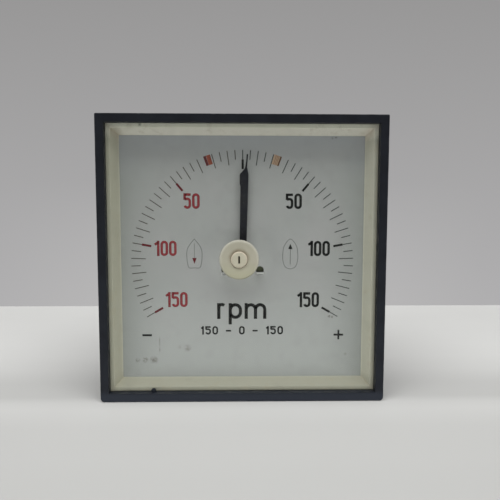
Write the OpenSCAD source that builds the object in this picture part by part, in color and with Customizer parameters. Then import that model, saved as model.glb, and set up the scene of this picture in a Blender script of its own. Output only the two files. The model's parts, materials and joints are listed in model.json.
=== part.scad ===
// Square panel tachometer: a moving-coil shaft-speed indicator with a 240 degree dial.
// X points right, Y back into the panel and Z up, in millimetres.
// The origin is the centre of the bezel's seat on the panel, so the front lies at negative Y.

/* [Bezel] */
// Outer width and height of the square bezel
face_w = 144; // [120:1:200]
// Depth of the bezel in front of the panel
bezel_depth = 8; // [6:0.5:14]
// Width of the bezel's front bar
bezel_bar = 4.2; // [3.6:0.1:8]
// Radius of the bezel's outer corners
bezel_corner = 1.3; // [0.5:0.1:3]
// Bevel along the bezel's front edges
bezel_bevel = 0.5; // [0.2:0.1:1]
// Distance between the two bezel screws on a side
screw_span = 80; // [40:1:90]

/* [Case] */
// How far the bezel reaches past the case on each side, over the panel
panel_overlap = 4; // [3.5:0.1:6]
// Sheet thickness of the case
case_wall = 1.2; // [0.8:0.1:1.3]
// Depth of the case behind the panel
case_depth = 60; // [50:1:110]
// Bend radius of the case's long edges
case_corner = 1.6; // [1.3:0.1:1.8]
// Thickness of the tray rim and flange at the front of the case
rim_wall = 1; // [0.8:0.1:1.4]
// Height of a panel clamp slot
clamp_slot_h = 12; // [6:1:20]
// Width of a panel clamp slot
clamp_slot_w = 5; // [3:0.5:8]
// Distance from the panel seat to the near edge of a clamp slot
clamp_slot_y = 12; // [8:1:24]

/* [Window] */
// Thickness of the glass
glass_t = 1.8; // [1.5:0.1:2.4]
// Thickness of the gasket behind the glass
gasket_t = 0.5; // [0.3:0.1:0.8]
// How far the bezel's lip covers the glass
lip_cover = 1.4; // [1:0.1:1.6]
// Thickness of the mask's outer flange
mask_flange_t = 0.7; // [0.5:0.1:1]
// Width of the mask's flat front strip
mask_strip_w = 2.2; // [2:0.1:3.4]
// How far the front strip reaches behind the bezel's lip
strip_cover = 0.6; // [0.1:0.1:0.7]
// How far the mask's walls lean in from the front to the dial
mask_slope = 3; // [2:0.1:6]
// Wall thickness of the mask
mask_wall = 0.9; // [0.6:0.1:1]

/* [Dial] */
// Air space between the glass and the dial
air_gap = 7.2; // [6.4:0.1:12]
// Thickness of the dial plate
dial_t = 0.8; // [0.6:0.1:1.2]
// Radius of the hole in the middle of the dial
dial_hole_r = 7.4; // [7.3:0.1:9]
// Height of the pointer's axis above the centre of the bezel
axis_z = -2; // [-6:0.1:4]
// Sideways distance of a stop lug from the pointer's axis
lug_x = 9; // [8.5:0.1:10]
// Drop of a stop lug's fold below the pointer's axis
lug_drop = 5.3; // [5:0.1:6]
// Radius of a stop lug's round end
lug_r = 2.1; // [1.6:0.1:2.4]
// Width of the neck between a stop lug's round end and its fold
lug_neck = 3.6; // [2:0.1:3.6]
// Angle of a stop lug away from the dial
lug_angle = 65; // [50:1:85]

/* [Hub cap] */
// Sideways place of the hub cap
hub_x = -1.8; // [-3:0.1:3]
// Height of the hub cap above the centre of the bezel
hub_z = 0.3; // [-1:0.1:2]
// Radius of the hub cap
hub_r = 10; // [9.9:0.1:13]
// Radius of the hub cap's skirt, which passes through the glass
skirt_r = 7.9; // [7.6:0.1:8.6]
// Radius of the zero button's head
button_r = 4.2; // [3.2:0.1:4.4]
// Radius of the zero button's shank
shank_r = 2.6; // [1.8:0.1:2.8]
// Length of the screwdriver slot
slot_l = 3.5; // [2.5:0.1:5]
// Width of the screwdriver slot
slot_w = 0.85; // [0.6:0.05:1.2]
// Distance of the crank pin from the zero button's axis
crank_r = 5; // [4.6:0.1:5.4]
// Radius of the crank pin
crank_pin_r = 0.6; // [0.4:0.1:0.8]

/* [Pointer] */
// Gap between the pointer's tip and the side of the dial opening
tip_margin = 7.6; // [4:0.1:12]
// Angle of the pointer at rest, clockwise from the zero mark
rest_angle = 1.2; // [-5:0.1:5]
// Width of the pointer's bar near its root
root_w = 3.4; // [2:0.1:4]
// Width of the pointer's bar at its shoulder
bar_w = 4.1; // [3:0.1:6]
// Width of the pointer's thin end
tip_w = 0.7; // [0.4:0.1:1.2]
// Length of the pointer's thin end
tip_l = 7.4; // [4:0.1:12]
// How far the root of the thin end stands to the right of the bar's middle
tip_shift = 0.7; // [-1:0.1:1]
// How far the thin end leans to the right on its way to the tip
tip_lean = 0.4; // [-1:0.1:1]
// Thickness of the pointer
pointer_t = 0.6; // [0.4:0.1:0.8]
// Distance of the stop pin from the pointer's axis
stop_r = 9.4; // [9:0.1:9.6]

/* [Movement] */
// Radius of the spindle
spindle_r = 0.8; // [0.6:0.1:1]
// Inner radius of the ring core
core_in_r = 10.4; // [10.2:0.1:12]
// Outer radius of the ring core
core_out_r = 18; // [16:0.1:19]
// Length of the ring core
core_len = 12; // [8:0.5:16]
// Width of the air gap between the ring core and the outer pole
pole_gap = 2.8; // [2.7:0.1:4]
// Wall of the outer pole
pole_wall = 6.2; // [5.6:0.1:8]
// Width of the magnet
magnet_w = 20; // [14:1:22]
// Length of the magnet
magnet_l = 15.4; // [10:0.1:20]
// Clearance between the coil and the iron
coil_clear = 0.7; // [0.6:0.05:0.9]
// Width of the coil former
former_w = 6.2; // [4:0.1:6.4]
// Wall of the coil former
former_t = 0.4; // [0.3:0.05:0.5]
// Height of the winding on the former
winding_t = 0.7; // [0.5:0.05:0.8]
// Length of the spacers between the outer pole and the chassis plate
spacer_l = 5; // [4.8:0.1:9]
// Turns of the front hairspring
front_turns = 3.5; // [2.5:1:5.5]
// Turns of the rear hairspring
rear_turns = 5.5; // [3.5:1:7.5]
// Radius of the main balance weight
weight_r = 2.2; // [1.6:0.1:2.6]
// Length of the main balance weight
weight_l = 4.9; // [3:0.1:6]

/* [Chassis] */
// Thickness of the front plate
front_plate_t = 1.5; // [1.5:0.1:2.5]
// Thickness of the chassis plate
chassis_t = 2; // [1.5:0.1:3]
// Radius of the pillars
pillar_r = 3.5; // [3:0.1:5]
// Gap between the plates and the case
plate_gap = 4; // [3:0.5:8]
// Gap between the front plate and the ring core
core_gap = 9.7; // [9.4:0.1:16]

/* [Terminals] */
// Width of the terminal board
board_w = 96; // [90:1:104]
// Height of the terminal board
board_h = 34; // [30:1:40]
// Height of the terminals above the centre of the bezel
terminal_z = -34; // [-38:1:-30]
// Distance between the two terminals
terminal_span = 48; // [40:1:52]
// Radius of the terminal studs
stud_r = 2; // [1.5:0.5:2.5]
// How far the terminal studs stand out behind the case
stud_out = 15; // [13:1:24]

/* [Hidden] */
$fn = 64;
fit = 0.02;
running = 0.05;
small = 0.1;
// How far a cut reaches past the face that it opens
over = 1;
m3_r = 1.5;
m3_nut_r = 3.17;
m3_nut_t = 2.4;
screw_play = 0.2;
pane_corner = 1;
dial_corner = 1;
plate_corner = 3;

half = face_w / 2;
open_half = half - bezel_bar;
pane_play = 0.15;
pane_half = open_half + lip_cover;
rim_in = pane_half + pane_play;
rim_out = rim_in + rim_wall;
cavity_half = rim_out + running;
case_half = half - panel_overlap;
case_in = case_half - case_wall;

flange_y = -rim_wall;
mask_y = flange_y - mask_flange_t;
glass_back = mask_y - gasket_t;
glass_y = glass_back - glass_t;
face_y = -bezel_depth;
dial_y = glass_back + air_gap;
dial_back = dial_y + dial_t;
plate_back = dial_back + front_plate_t;
wall_y = case_depth - case_wall;

strip_half = open_half + strip_cover;
mask_top_half = strip_half - mask_strip_w;
view_half = mask_top_half - mask_slope;
foot_play = 0.4;
foot_half = case_in - foot_play;
dial_play = 1.3;
dial_half = case_in - dial_play;
plate_half = case_in - plate_gap;
pillar_in = 5.5;
pillar_xz = plate_half - pillar_in;

screw_r = 1;
screw_head_r = 1.9;
screw_head_t = 0.9;
bezel_screw_y = (glass_y + small) / 2 - 0.4;

seat_gap = 0.7;
bridge_y = glass_back + seat_gap;
bridge_t = 0.9;
bridge_back = bridge_y + bridge_t;
bridge_half = 2.3;
leg_low = 6.9;
leg_high = 4.7;
bridge_screw_x = 1.25;
bridge_screw_r = 0.7;
bridge_screw_z = -(leg_low + leg_high) / 2;
regulator_y = bridge_back + small;
regulator_t = 0.4;
regulator_back = regulator_y + regulator_t;
spring_h = 0.5;
spring_t = 0.12;
spring_y = regulator_back + 0.2;
collet_r = 1.5;
stud_pin_r = 0.35;
stud_past = 0.15;
front_spring_r = 4.2;
rear_spring_r = 6.5;
pointer_y = spring_y + spring_h + 0.7;
pointer_back = pointer_y + pointer_t;
pointer_bush_r = 1.7;

jewel_screw_r = 1.5;
jewel_r = 0.75;
jewel_t = 0.8;
cup_r = 0.45;
cup_depth = 0.5;
pivot_l = 0.5;
front_screw_out = 1.4;
rear_screw_out = 2.2;
nut_t = 0.8;
lock_nut_r = 2.9;

lug_play = 0.3;
lug_reach = dial_y - pointer_back - lug_play;
lug_l = lug_reach / sin(lug_angle);
lug_centre = lug_l - lug_r;
stop_pin_r = 0.4;

tip_r = view_half - tip_margin;
shoulder_r = tip_r - tip_l;
shoulder_l = 2.8;
bar_end_r = shoulder_r - shoulder_l;

cap_rise = 2.4;
cap_front = glass_y - cap_rise;
cap_floor_t = 0.7;
floor_y = glass_y - cap_floor_t;
crank_y = glass_y + small;
crank_t = 0.7;
skirt_wall = 0.8;
skirt_end = glass_back + 0.4;
ring_w = 1.7;
hub_to_axis = norm([hub_x, hub_z - axis_z]);
hub_turn = atan2(hub_x, hub_z - axis_z);
pin_r = hub_to_axis + crank_r;

balance_gap = 1;
balance_y = plate_back + balance_gap + weight_r;
balance_wire_r = 0.4;
core_y = plate_back + core_gap;
core_back = core_y + core_len;
coil_reach = coil_clear + former_t + winding_t;
coil_front = core_y - coil_reach;
coil_back = core_back + coil_reach;
core_side_play = 0.4;
arm_t = 0.4;
arm_half = 2;
former_flange_t = 0.3;
core_open = 44;
foot_top = core_out_r + 0.6;
magnet_top = foot_top + magnet_l;
pole_in_r = core_out_r + pole_gap;
pole_out_r = pole_in_r + pole_wall;
leg_gap = 3;
leg_w = 6;
leg_in = magnet_w / 2 + leg_gap;
leg_out = leg_in + leg_w;
pole_top = magnet_top + leg_w;
pole_screw_r = (pole_in_r + pole_out_r) / 2;
pole_screw_angle = 40;
pole_screw_places = [
    pole_screw_r * [sin(pole_screw_angle), -cos(pole_screw_angle)],
    pole_screw_r * [-sin(pole_screw_angle), -cos(pole_screw_angle)],
    [leg_out - leg_w / 2, pole_top - leg_w / 2],
    [leg_w / 2 - leg_out, pole_top - leg_w / 2]
];
chassis_y = core_back + spacer_l;
chassis_back = chassis_y + chassis_t;
rear_spring_y = coil_back + arm_t + 0.9;
anchor_t = 0.5;
anchor_y = chassis_y - anchor_t;
rear_pivot_y = chassis_y - 0.3;

board_t = 1.6;
board_spacer_l = 6;
board_y = chassis_back + board_spacer_l;
board_back = board_y + board_t;
board_z = 32;
board_screw_x = 24;
resistor_r = 2;
resistor_l = 12;
resistor_pitch = 6.5;
resistor_foot_x = resistor_l / 2 + 2.5;
resistor_gap = 0.3;
resistor_y = board_back + resistor_gap + resistor_r;

base_t = 4;
base_back = case_depth + base_t;
plug_w = 66;
plug_h = 22;
plug_l = 1.8;
plug_y = wall_y - plug_l;
board_bolt_in = 6;
board_bolt_x = board_w / 2 - board_bolt_in;
shroud_w = 68;
shroud_h = 30;
shroud_l = 6;
shroud_wall = 2;
shroud_foot = case_depth + 1;
plug_play = 0.2;
stud_in = 8;
washer_t = 0.8;
terminal_nut_t = 3.2;
terminal_nut_r = 2.02 * stud_r;
washer_r = 2.3 * stud_r;
tag_t = 0.5;
tag_l = 11;

lead_r = 0.6;
leads = [
    [[24, 55.8, -28], [24, 55.8, -25], [24, 55.5, -21], [24, 54, -16], [25, 51, -8], [26, 48, 6],
        [25, 46.5, 14], [22, 45.5, 20], [16, 45, 24], [11, 45, 25.5]],
    [[-24, 55.8, -28], [-24, 55.8, -25], [-24, 55.5, -21], [-24, 53.5, -16], [-25, 50, -8],
        [-27, 46, 0], [-28, 42, 3], [-28, 39, 3], [-28, 36.3, 3]],
    [[-11, 45, 38.5], [-15, 45.3, 39], [-19, 45.5, 37], [-20.5, 46, 30], [-19.5, 45.5, 20],
        [-16, 44, 10], [-11, 41.5, 3], [-7.5, 39, 0], [-7, 36.5, -2]]
];

cream = [0.63, 0.61, 0.52];
black = [0.13, 0.14, 0.16];
dial_white = [0.74, 0.75, 0.74];
brass = [0.72, 0.58, 0.32];
steel = [0.62, 0.63, 0.65];
iron = [0.34, 0.35, 0.37];
aluminium = [0.75, 0.76, 0.77];
ruby = [0.7, 0.15, 0.2];
paxolin = [0.45, 0.28, 0.15];

// Outline of a square or a rectangle with round corners
function rounded(hx, hz, r, steps = 6) = [
    for (q = [0:3], i = [0:steps])
        let (a = 90 * (q + i / steps), sx = (q == 0 || q == 3) ? 1 : -1, sz = q < 2 ? 1 : -1)
            [sx * (hx - r) + r * cos(a), sz * (hz - r) + r * sin(a)]
];

// Points of an arc in a profile, from one angle to another
function arc(cx, cy, r, from, to, steps) = [
    for (i = [0:steps])
        let (a = from + (to - from) * i / steps) [cx + r * cos(a), cy + r * sin(a)]
];

// Half width of the mask's inner wall at a depth
function mask_half(y) = mask_top_half - mask_slope * (y - glass_back) / air_gap;

// Outline of a spiral strip, from its inner to its outer radius
function spiral(r0, r1, turns, t, steps = 20) = concat(
    [for (i = [0:turns * steps]) spiral_point(r0, r1, turns, i / steps, t / 2)],
    [for (i = [turns * steps:-1:0]) spiral_point(r0, r1, turns, i / steps, -t / 2)]
);
function spiral_point(r0, r1, turns, turn, side) =
    let (r = r0 + (r1 - r0) * turn / turns + side, a = 360 * (turn - turns)) [r * cos(a), r * sin(a)];

// A cylinder along Y
module rod_y(r, y1, y2) {
    translate([0, y1, 0]) rotate([-90, 0, 0]) cylinder(r = r, h = y2 - y1);
}

// A cone along Y
module cone_y(r1, r2, y1, y2) {
    translate([0, y1, 0]) rotate([-90, 0, 0]) cylinder(r1 = r1, r2 = r2, h = y2 - y1);
}

// A drawing in the XZ plane made thick along Y
module slab_y(y1, y2) {
    translate([0, y2, 0]) rotate([90, 0, 0]) linear_extrude(y2 - y1) children();
}

// A drawing of depth against height made thick along X, about its middle
module slab_x(w) {
    translate([-w / 2, 0, 0]) rotate([90, 0, 90]) linear_extrude(w) children();
}

// A profile of radius against depth turned about the Y axis
module turned_y(points) {
    rotate([-90, 0, 0]) rotate_extrude() polygon(points);
}

// A square taper between two depths
module taper_y(h1, h2, y1, y2) {
    side = 2 * max(h1, h2) + 2;
    outline = [[-h1, y1], [h1, y1], [h2, y2], [-h2, y2]];
    intersection() {
        linear_extrude(side, center = true) polygon(outline);
        rotate([0, 90, 0]) linear_extrude(side, center = true) polygon(outline);
    }
}

module at_axis() {
    translate([0, 0, axis_z]) children();
}

module at_rest() {
    at_axis() rotate([0, rest_angle, 0]) children();
}

module at_hub() {
    translate([hub_x, 0, hub_z]) children();
}

module corners(d) {
    for (x = [-d, d], z = [-d, d])
        translate([x, 0, z]) children();
}

module both_sides(d) {
    for (x = [-d, d])
        translate([x, 0, 0]) children();
}

module slot_cut(width, y1, y2) {
    slab_y(y1, y2) square([width, 20], center = true);
}

// A tube of eight sides swept along a smooth route
module wire(route, r) {
    sides = 8;
    steps = 4;
    points = smooth(route, steps);
    last = len(points) - 1;
    rings = [
        for (i = [0:last])
            let (
                ahead = points[min(i + 1, last)] - points[max(i - 1, 0)],
                t = ahead / norm(ahead),
                u0 = cross(t, abs(t[0]) > 0.9 ? [0, 0, 1] : [1, 0, 0]),
                u = u0 / norm(u0),
                v = cross(t, u)
            )
            for (k = [0:sides - 1])
                points[i] + r * (cos(360 * k / sides) * u + sin(360 * k / sides) * v)
    ];
    walls = [
        for (i = [0:last - 1], k = [0:sides - 1], half_face = [0, 1])
            let (a = i * sides + k, b = i * sides + (k + 1) % sides)
                half_face == 0 ? [a, a + sides, b] : [b, a + sides, b + sides]
    ];
    first_cap = [for (k = [1:sides - 2]) [0, k, k + 1]];
    last_cap = [for (k = [1:sides - 2]) [last * sides, last * sides + k + 1, last * sides + k]];
    polyhedron(rings, concat(walls, first_cap, last_cap));
}

// Extra points between those of a route, on a smooth curve
function smooth(p, steps) = concat(
    [
        for (i = [0:len(p) - 2], s = [0:steps - 1])
            let (a = p[max(i - 1, 0)], b = p[i], c = p[i + 1], d = p[min(i + 2, len(p) - 1)], t = s / steps)
                0.5 * (2 * b + (c - a) * t + (2 * a - 5 * b + 4 * c - d) * t * t
                    + (3 * b - a - 3 * c + d) * t * t * t)
    ],
    [p[len(p) - 1]]
);

module bezel() {
    color(black) difference() {
        intersection() {
            slab_y(face_y, 0) polygon(rounded(half, half, bezel_corner));
            union() {
                taper_y(half - bezel_bevel, half, face_y, face_y + bezel_bevel);
                slab_y(face_y + bezel_bevel, over) square(2 * half, center = true);
            }
        }
        slab_y(face_y - over, glass_y + over) square(2 * open_half, center = true);
        taper_y(open_half + 2 * bezel_bevel, open_half, face_y - bezel_bevel, face_y + bezel_bevel);
        slab_y(glass_y, over) square(2 * cavity_half, center = true);
        bezel_screw_places() {
            cone_x(screw_r + small, screw_head_r + small, half - screw_head_t, half + small);
            rod_x(screw_r + small, rim_in, half);
        }
    }
}

module rod_x(r, x1, x2) {
    translate([x1, 0, 0]) rotate([0, 90, 0]) cylinder(r = r, h = x2 - x1);
}

module cone_x(r1, r2, x1, x2) {
    translate([x1, 0, 0]) rotate([0, 90, 0]) cylinder(r1 = r1, r2 = r2, h = x2 - x1);
}

module bezel_screw_places() {
    for (side = [0, 180], z = [-screw_span / 2, screw_span / 2])
        translate([0, bezel_screw_y, z]) rotate([0, side, 0]) children();
}

module bezel_screws() {
    nick_w = 0.5;
    nick_deep = 0.4;
    nick_reach = 3;
    color(steel) bezel_screw_places() difference() {
        union() {
            cone_x(screw_r, screw_head_r, half - screw_head_t, half);
            rod_x(screw_r, rim_in, half - screw_head_t);
        }
        translate([half - nick_deep, -nick_w / 2, -nick_reach]) cube([over, nick_w, 2 * nick_reach]);
    }
}

module glass() {
    color([0.8, 0.86, 0.86, 0.3]) difference() {
        slab_y(glass_y, glass_back) polygon(rounded(pane_half, pane_half, pane_corner));
        at_hub() rod_y(skirt_r + small, glass_y - over, glass_back + over);
    }
}

module glass_gasket() {
    color([0.08, 0.08, 0.08]) difference() {
        slab_y(glass_back, mask_y) square(2 * pane_half, center = true);
        slab_y(glass_back - over, mask_y + over) square(2 * (strip_half + small), center = true);
    }
}

module mask_frame() {
    color(cream) difference() {
        union() {
            slab_y(glass_back, flange_y) square(2 * strip_half, center = true);
            slab_y(mask_y, flange_y) square(2 * pane_half, center = true);
            taper_y(mask_half(flange_y) + mask_wall, mask_half(dial_y) + mask_wall, flange_y, dial_y);
            slab_y(dial_y - mask_wall, dial_y) square(2 * foot_half, center = true);
        }
        taper_y(mask_half(glass_back - over), mask_half(dial_y + over), glass_back - over, dial_y + over);
    }
}

module case_shell() {
    color(iron) difference() {
        union() {
            slab_y(flange_y, case_depth) polygon(rounded(case_half, case_half, case_corner));
            difference() {
                slab_y(glass_y + small, 0) square(2 * rim_out, center = true);
                slab_y(glass_y, flange_y) square(2 * rim_in, center = true);
            }
        }
        slab_y(flange_y - over, wall_y) polygon(rounded(case_in, case_in, case_corner - case_wall));
        bezel_screw_places() rod_x(screw_r + fit, rim_in - over, rim_out + over);
        for (side = [-1, 1], z = [-half / 2, half / 2])
            translate([side * case_half, clamp_slot_y + clamp_slot_w / 2, z])
                cube([3 * case_wall, clamp_slot_w, clamp_slot_h], center = true);
        corners(pillar_xz) rod_y(m3_r + screw_play, wall_y - over, case_depth + over);
        translate([0, 0, terminal_z]) {
            slab_y(wall_y - over, case_depth + over)
                square([plug_w + 2 * plug_play, plug_h + 2 * plug_play], center = true);
            both_sides(board_bolt_x) rod_y(m3_r + screw_play, wall_y - over, case_depth + over);
        }
    }
}

module hub_cap() {
    recess_deep = 0.7;
    dish_step = 0.35;
    dish_rise = 0.45;
    dish_crown = 0.2;
    rim_w = 1.1;
    recess_r = button_r + 0.15;
    dish_r = recess_r + 0.8;
    rim_r = 0.9;
    profile = concat(
        [[shank_r + running, floor_y], [recess_r, floor_y], [recess_r, floor_y - recess_deep]],
        [
            for (i = [0:6])
                let (s = i / 6, rise = dish_rise * s + dish_crown * sin(90 * s))
                    [dish_r + (hub_r - rim_w - dish_r) * s, floor_y - recess_deep - dish_step - rise]
        ],
        arc(hub_r - rim_r, cap_front + rim_r, rim_r, -80, 0, 6),
        [[hub_r, glass_y], [skirt_r, glass_y], [skirt_r, skirt_end]],
        [[skirt_r - skirt_wall, skirt_end], [skirt_r - skirt_wall, glass_y], [shank_r + running, glass_y]]
    );
    color(cream) at_hub() turned_y(profile);
}

module cap_ring() {
    color(steel) at_hub() difference() {
        rod_y(skirt_r + ring_w, glass_back, skirt_end);
        rod_y(skirt_r + fit, glass_back - over, skirt_end + over);
        slab_y(glass_back - over, skirt_end + over) translate([-1, 0]) square([2, 20]);
    }
}

module zero_button() {
    edge_w = 0.6;
    edge_l = 0.8;
    edge_mid = [0.15, 0.35];
    slot_deep = 0.9;
    head_y = floor_y - running;
    front = cap_front - small;
    profile = [
        [0, front], [button_r - edge_w, front], [button_r - edge_mid[0], front + edge_mid[1]],
        [button_r, front + edge_l], [button_r, head_y], [shank_r, head_y], [shank_r, crank_y + crank_t],
        [0, crank_y + crank_t]
    ];
    color(cream) at_hub() difference() {
        turned_y(profile);
        slab_y(front - over, front + slot_deep) square([slot_w, slot_l], center = true);
    }
}

module adjuster_crank() {
    boss_r = shank_r + 1.2;
    tip_half = crank_pin_r + 0.7;
    color(brass) at_hub() rotate([0, hub_turn, 0]) difference() {
        union() {
            rod_y(boss_r, crank_y, crank_y + crank_t);
            slab_y(crank_y, crank_y + crank_t) translate([-tip_half, 0]) square([2 * tip_half, crank_r]);
            translate([0, 0, crank_r]) rod_y(tip_half + small, crank_y, crank_y + crank_t);
            translate([0, 0, crank_r]) rod_y(crank_pin_r, crank_y, regulator_back + small);
        }
        rod_y(shank_r + fit, crank_y - over, crank_y + crank_t + over);
    }
}

module lug_side(side) {
    translate([side * lug_x, 0, -lug_drop]) children();
}

// Outline of a stop lug laid flat, its fold along the X axis
module lug_outline() {
    intersection() {
        union() {
            translate([0, lug_centre]) circle(lug_r);
            translate([-lug_neck / 2, 0]) square([lug_neck, lug_centre]);
        }
        translate([-lug_r, 0]) square([2 * lug_r, lug_l]);
    }
}

module dial_plate() {
    color(dial_white) at_axis() {
        difference() {
            translate([0, 0, -axis_z]) slab_y(dial_y, dial_back)
                polygon(rounded(dial_half, dial_half, dial_corner));
            rod_y(dial_hole_r, dial_y - over, dial_back + over);
            for (side = [-1, 1])
                lug_side(side) slab_y(dial_y - over, dial_back + over) lug_outline();
        }
        for (side = [-1, 1])
            lug_side(side) translate([0, dial_y, 0]) rotate([270 - lug_angle, 0, 0])
                linear_extrude(dial_t) lug_outline();
    }
}

module front_plate() {
    bearing_hole_r = 3.4;
    lug_room = 0.5;
    window_in = 24;
    window_w = 18;
    window_h = plate_half;
    color(aluminium) difference() {
        slab_y(dial_back, plate_back) polygon(rounded(plate_half, plate_half, plate_corner));
        at_axis() {
            rod_y(bearing_hole_r, dial_back - over, plate_back + over);
            both_sides(bridge_screw_x)
                translate([0, 0, bridge_screw_z])
                    rod_y(bridge_screw_r + small, dial_back - over, plate_back + over);
            for (side = [-1, 1])
                lug_side(side) translate([0, 0, lug_centre])
                    rod_y(lug_r + lug_room, dial_back - over, plate_back + over);
        }
        both_sides(plate_half - window_in)
            slab_y(dial_back - over, plate_back + over) square([window_w, window_h], center = true);
        corners(pillar_xz) {
            rod_y(m3_r + small, dial_back - over, plate_back + over);
            cone_y(2 * m3_r, m3_r, dial_back - small, dial_back + front_plate_t - small);
        }
    }
}

module front_plate_screws() {
    head_r = 1.9 * m3_r;
    head_play = 0.2;
    screw_l = 7;
    nick = 0.6;
    color(steel) corners(pillar_xz) difference() {
        union() {
            cone_y(head_r, m3_r, dial_back, dial_back + front_plate_t - head_play);
            rod_y(m3_r, dial_back + front_plate_t / 3, plate_back + screw_l);
        }
        slot_cut(nick, dial_back - over, dial_back + nick);
    }
}

module front_bridge() {
    head_r = 3;
    bore_l = 3.2;
    color(brass) at_axis() difference() {
        union() {
            rod_y(head_r, bridge_y, bridge_back);
            slab_y(bridge_y, bridge_back)
                translate([-bridge_half, -leg_low]) square([2 * bridge_half, leg_low]);
            slab_y(bridge_back - small, dial_back)
                translate([-bridge_half, -leg_low]) square([2 * bridge_half, leg_low - leg_high]);
        }
        rod_y(jewel_screw_r + fit, bridge_y - over, bridge_back + over);
        both_sides(bridge_screw_x)
            translate([0, 0, bridge_screw_z])
                rod_y(bridge_screw_r + fit, dial_back - bore_l, dial_back + over);
    }
}

module bridge_screws() {
    screw_l = 3;
    head_r = bridge_screw_x - running;
    head_t = 0.8;
    nick_w = 0.35;
    nick_deep = 0.3;
    color(steel) at_axis() both_sides(bridge_screw_x) translate([0, 0, bridge_screw_z]) difference() {
        union() {
            rod_y(bridge_screw_r, dial_back - screw_l, plate_back + small);
            rod_y(head_r, plate_back, plate_back + head_t);
        }
        slab_y(plate_back + head_t - nick_deep, plate_back + 2 * over)
            square([nick_w, 4 * over], center = true);
    }
}

// The bearing screw with its slot at the end named outer, bored for the jewel at the inner end
module jewel_screw(outer, inner, away) {
    nick = 0.5;
    low = min(outer, inner);
    high = max(outer, inner);
    color(brass) at_axis() difference() {
        rod_y(jewel_screw_r, low, high);
        rod_y(jewel_r + fit, away > 0 ? low - over : high - jewel_t, away > 0 ? low + jewel_t : high + over);
        slot_cut(nick, away > 0 ? high - nick : low - over, away > 0 ? high + over : low + nick);
    }
}

module jewel(open_y, away) {
    point_r = 0.05;
    color(ruby) at_axis() difference() {
        rod_y(jewel_r, min(open_y, open_y + away * jewel_t), max(open_y, open_y + away * jewel_t));
        if (away > 0)
            cone_y(cup_r, point_r, open_y - fit, open_y + cup_depth);
        else
            cone_y(point_r, cup_r, open_y - cup_depth, open_y + fit);
    }
}

module hex_nut(across_r, bore_r, y1, y2) {
    difference() {
        translate([0, y1, 0]) rotate([-90, 0, 0]) cylinder(r = across_r, h = y2 - y1, $fn = 6);
        rod_y(bore_r + fit, y1 - over, y2 + over);
    }
}

module front_jewel_screw() {
    jewel_screw(bridge_y - front_screw_out, regulator_back, -1);
}

module front_jewel() {
    jewel(regulator_back, -1);
}

module front_lock_nut() {
    color(brass) at_axis() hex_nut(lock_nut_r, jewel_screw_r, bridge_y - nut_t, bridge_y);
}

module regulator() {
    fork_past = 1.6;
    fork_slot = [-1.2, 2.2];
    tail_half = 0.9;
    tail_past = 0.8;
    ring_r = 2.9;
    fork_half = 1.5;
    slot_half = crank_pin_r + running;
    stud_at = front_spring_r + spring_t + stud_pin_r;
    color(brass) at_axis() difference() {
        union() {
            rod_y(ring_r, regulator_y, regulator_back);
            rotate([0, hub_turn, 0]) slab_y(regulator_y, regulator_back)
                translate([-fork_half, 0]) square([2 * fork_half, pin_r + fork_past]);
            slab_y(regulator_y, regulator_back)
                translate([0, -tail_half]) square([stud_at + tail_past, 2 * tail_half]);
            translate([stud_at, 0, 0]) rod_y(stud_pin_r, regulator_y, spring_y + spring_h + stud_past);
        }
        rod_y(jewel_screw_r + running, regulator_y - over, regulator_back + over);
        rotate([0, hub_turn, 0]) slab_y(regulator_y - over, regulator_back + over)
            translate([-slot_half, pin_r + fork_slot[0]]) square([2 * slot_half, fork_slot[1]]);
    }
}

module hairspring(y, outer_r, turns) {
    slab_y(y, y + spring_h) polygon(spiral(collet_r + spring_t, outer_r, turns, spring_t));
}

module front_hairspring() {
    color(brass) at_axis() hairspring(spring_y, front_spring_r, front_turns);
}

module rear_hairspring() {
    color(brass) at_axis() hairspring(rear_spring_y, rear_spring_r, rear_turns);
}

module collet(y1, y2) {
    gap_w = 0.3;
    color(brass) at_rest() difference() {
        rod_y(collet_r, y1, y2);
        rod_y(spindle_r + fit, y1 - over, y2 + over);
        slab_y(y1 - over, y2 + over) translate([-gap_w / 2, 0]) square([gap_w, 2 * collet_r]);
    }
}

module front_collet() {
    collet(spring_y - small, spring_y + spring_h + 0.2);
}

module rear_collet() {
    collet(rear_spring_y - 0.2, rear_spring_y + spring_h + small);
}

module pointer() {
    eye_w = 1.2;
    flare = 0.25;
    flare_l = 0.8;
    tip_x = tip_shift + tip_lean;
    outline = [
        [-root_w / 2, 0], [-bar_w / 2, bar_end_r], [tip_shift - tip_w / 2 - flare, shoulder_r],
        [tip_shift - tip_w / 2, shoulder_r + flare_l], [tip_x - tip_w / 2, tip_r],
        [tip_x + tip_w / 2, tip_r], [tip_shift + tip_w / 2, shoulder_r + flare_l],
        [tip_shift + tip_w / 2 + flare, shoulder_r], [bar_w / 2, bar_end_r], [root_w / 2, 0]
    ];
    color(black) at_rest() difference() {
        union() {
            slab_y(pointer_y, pointer_back) polygon(outline);
            rod_y(pointer_bush_r + eye_w, pointer_y, pointer_back);
        }
        rod_y(pointer_bush_r + fit, pointer_y - over, pointer_back + over);
        translate([0, 0, stop_r]) rod_y(stop_pin_r + fit, pointer_y - over, pointer_back + over);
    }
}

module pointer_hub() {
    flange_w = 0.9;
    flange_t = 0.4;
    bush_tail = 1;
    color(brass) at_rest() difference() {
        union() {
            rod_y(pointer_bush_r + flange_w, pointer_y - flange_t, pointer_y);
            rod_y(pointer_bush_r, pointer_y - small, pointer_back + bush_tail);
        }
        rod_y(spindle_r + fit, pointer_y - 2 * over, pointer_back + 2 * over);
    }
}

module stop_pin() {
    end_play = 0.6;
    color(brass) at_rest() translate([0, 0, stop_r]) rod_y(stop_pin_r, pointer_y, dial_y - end_play);
}

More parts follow.
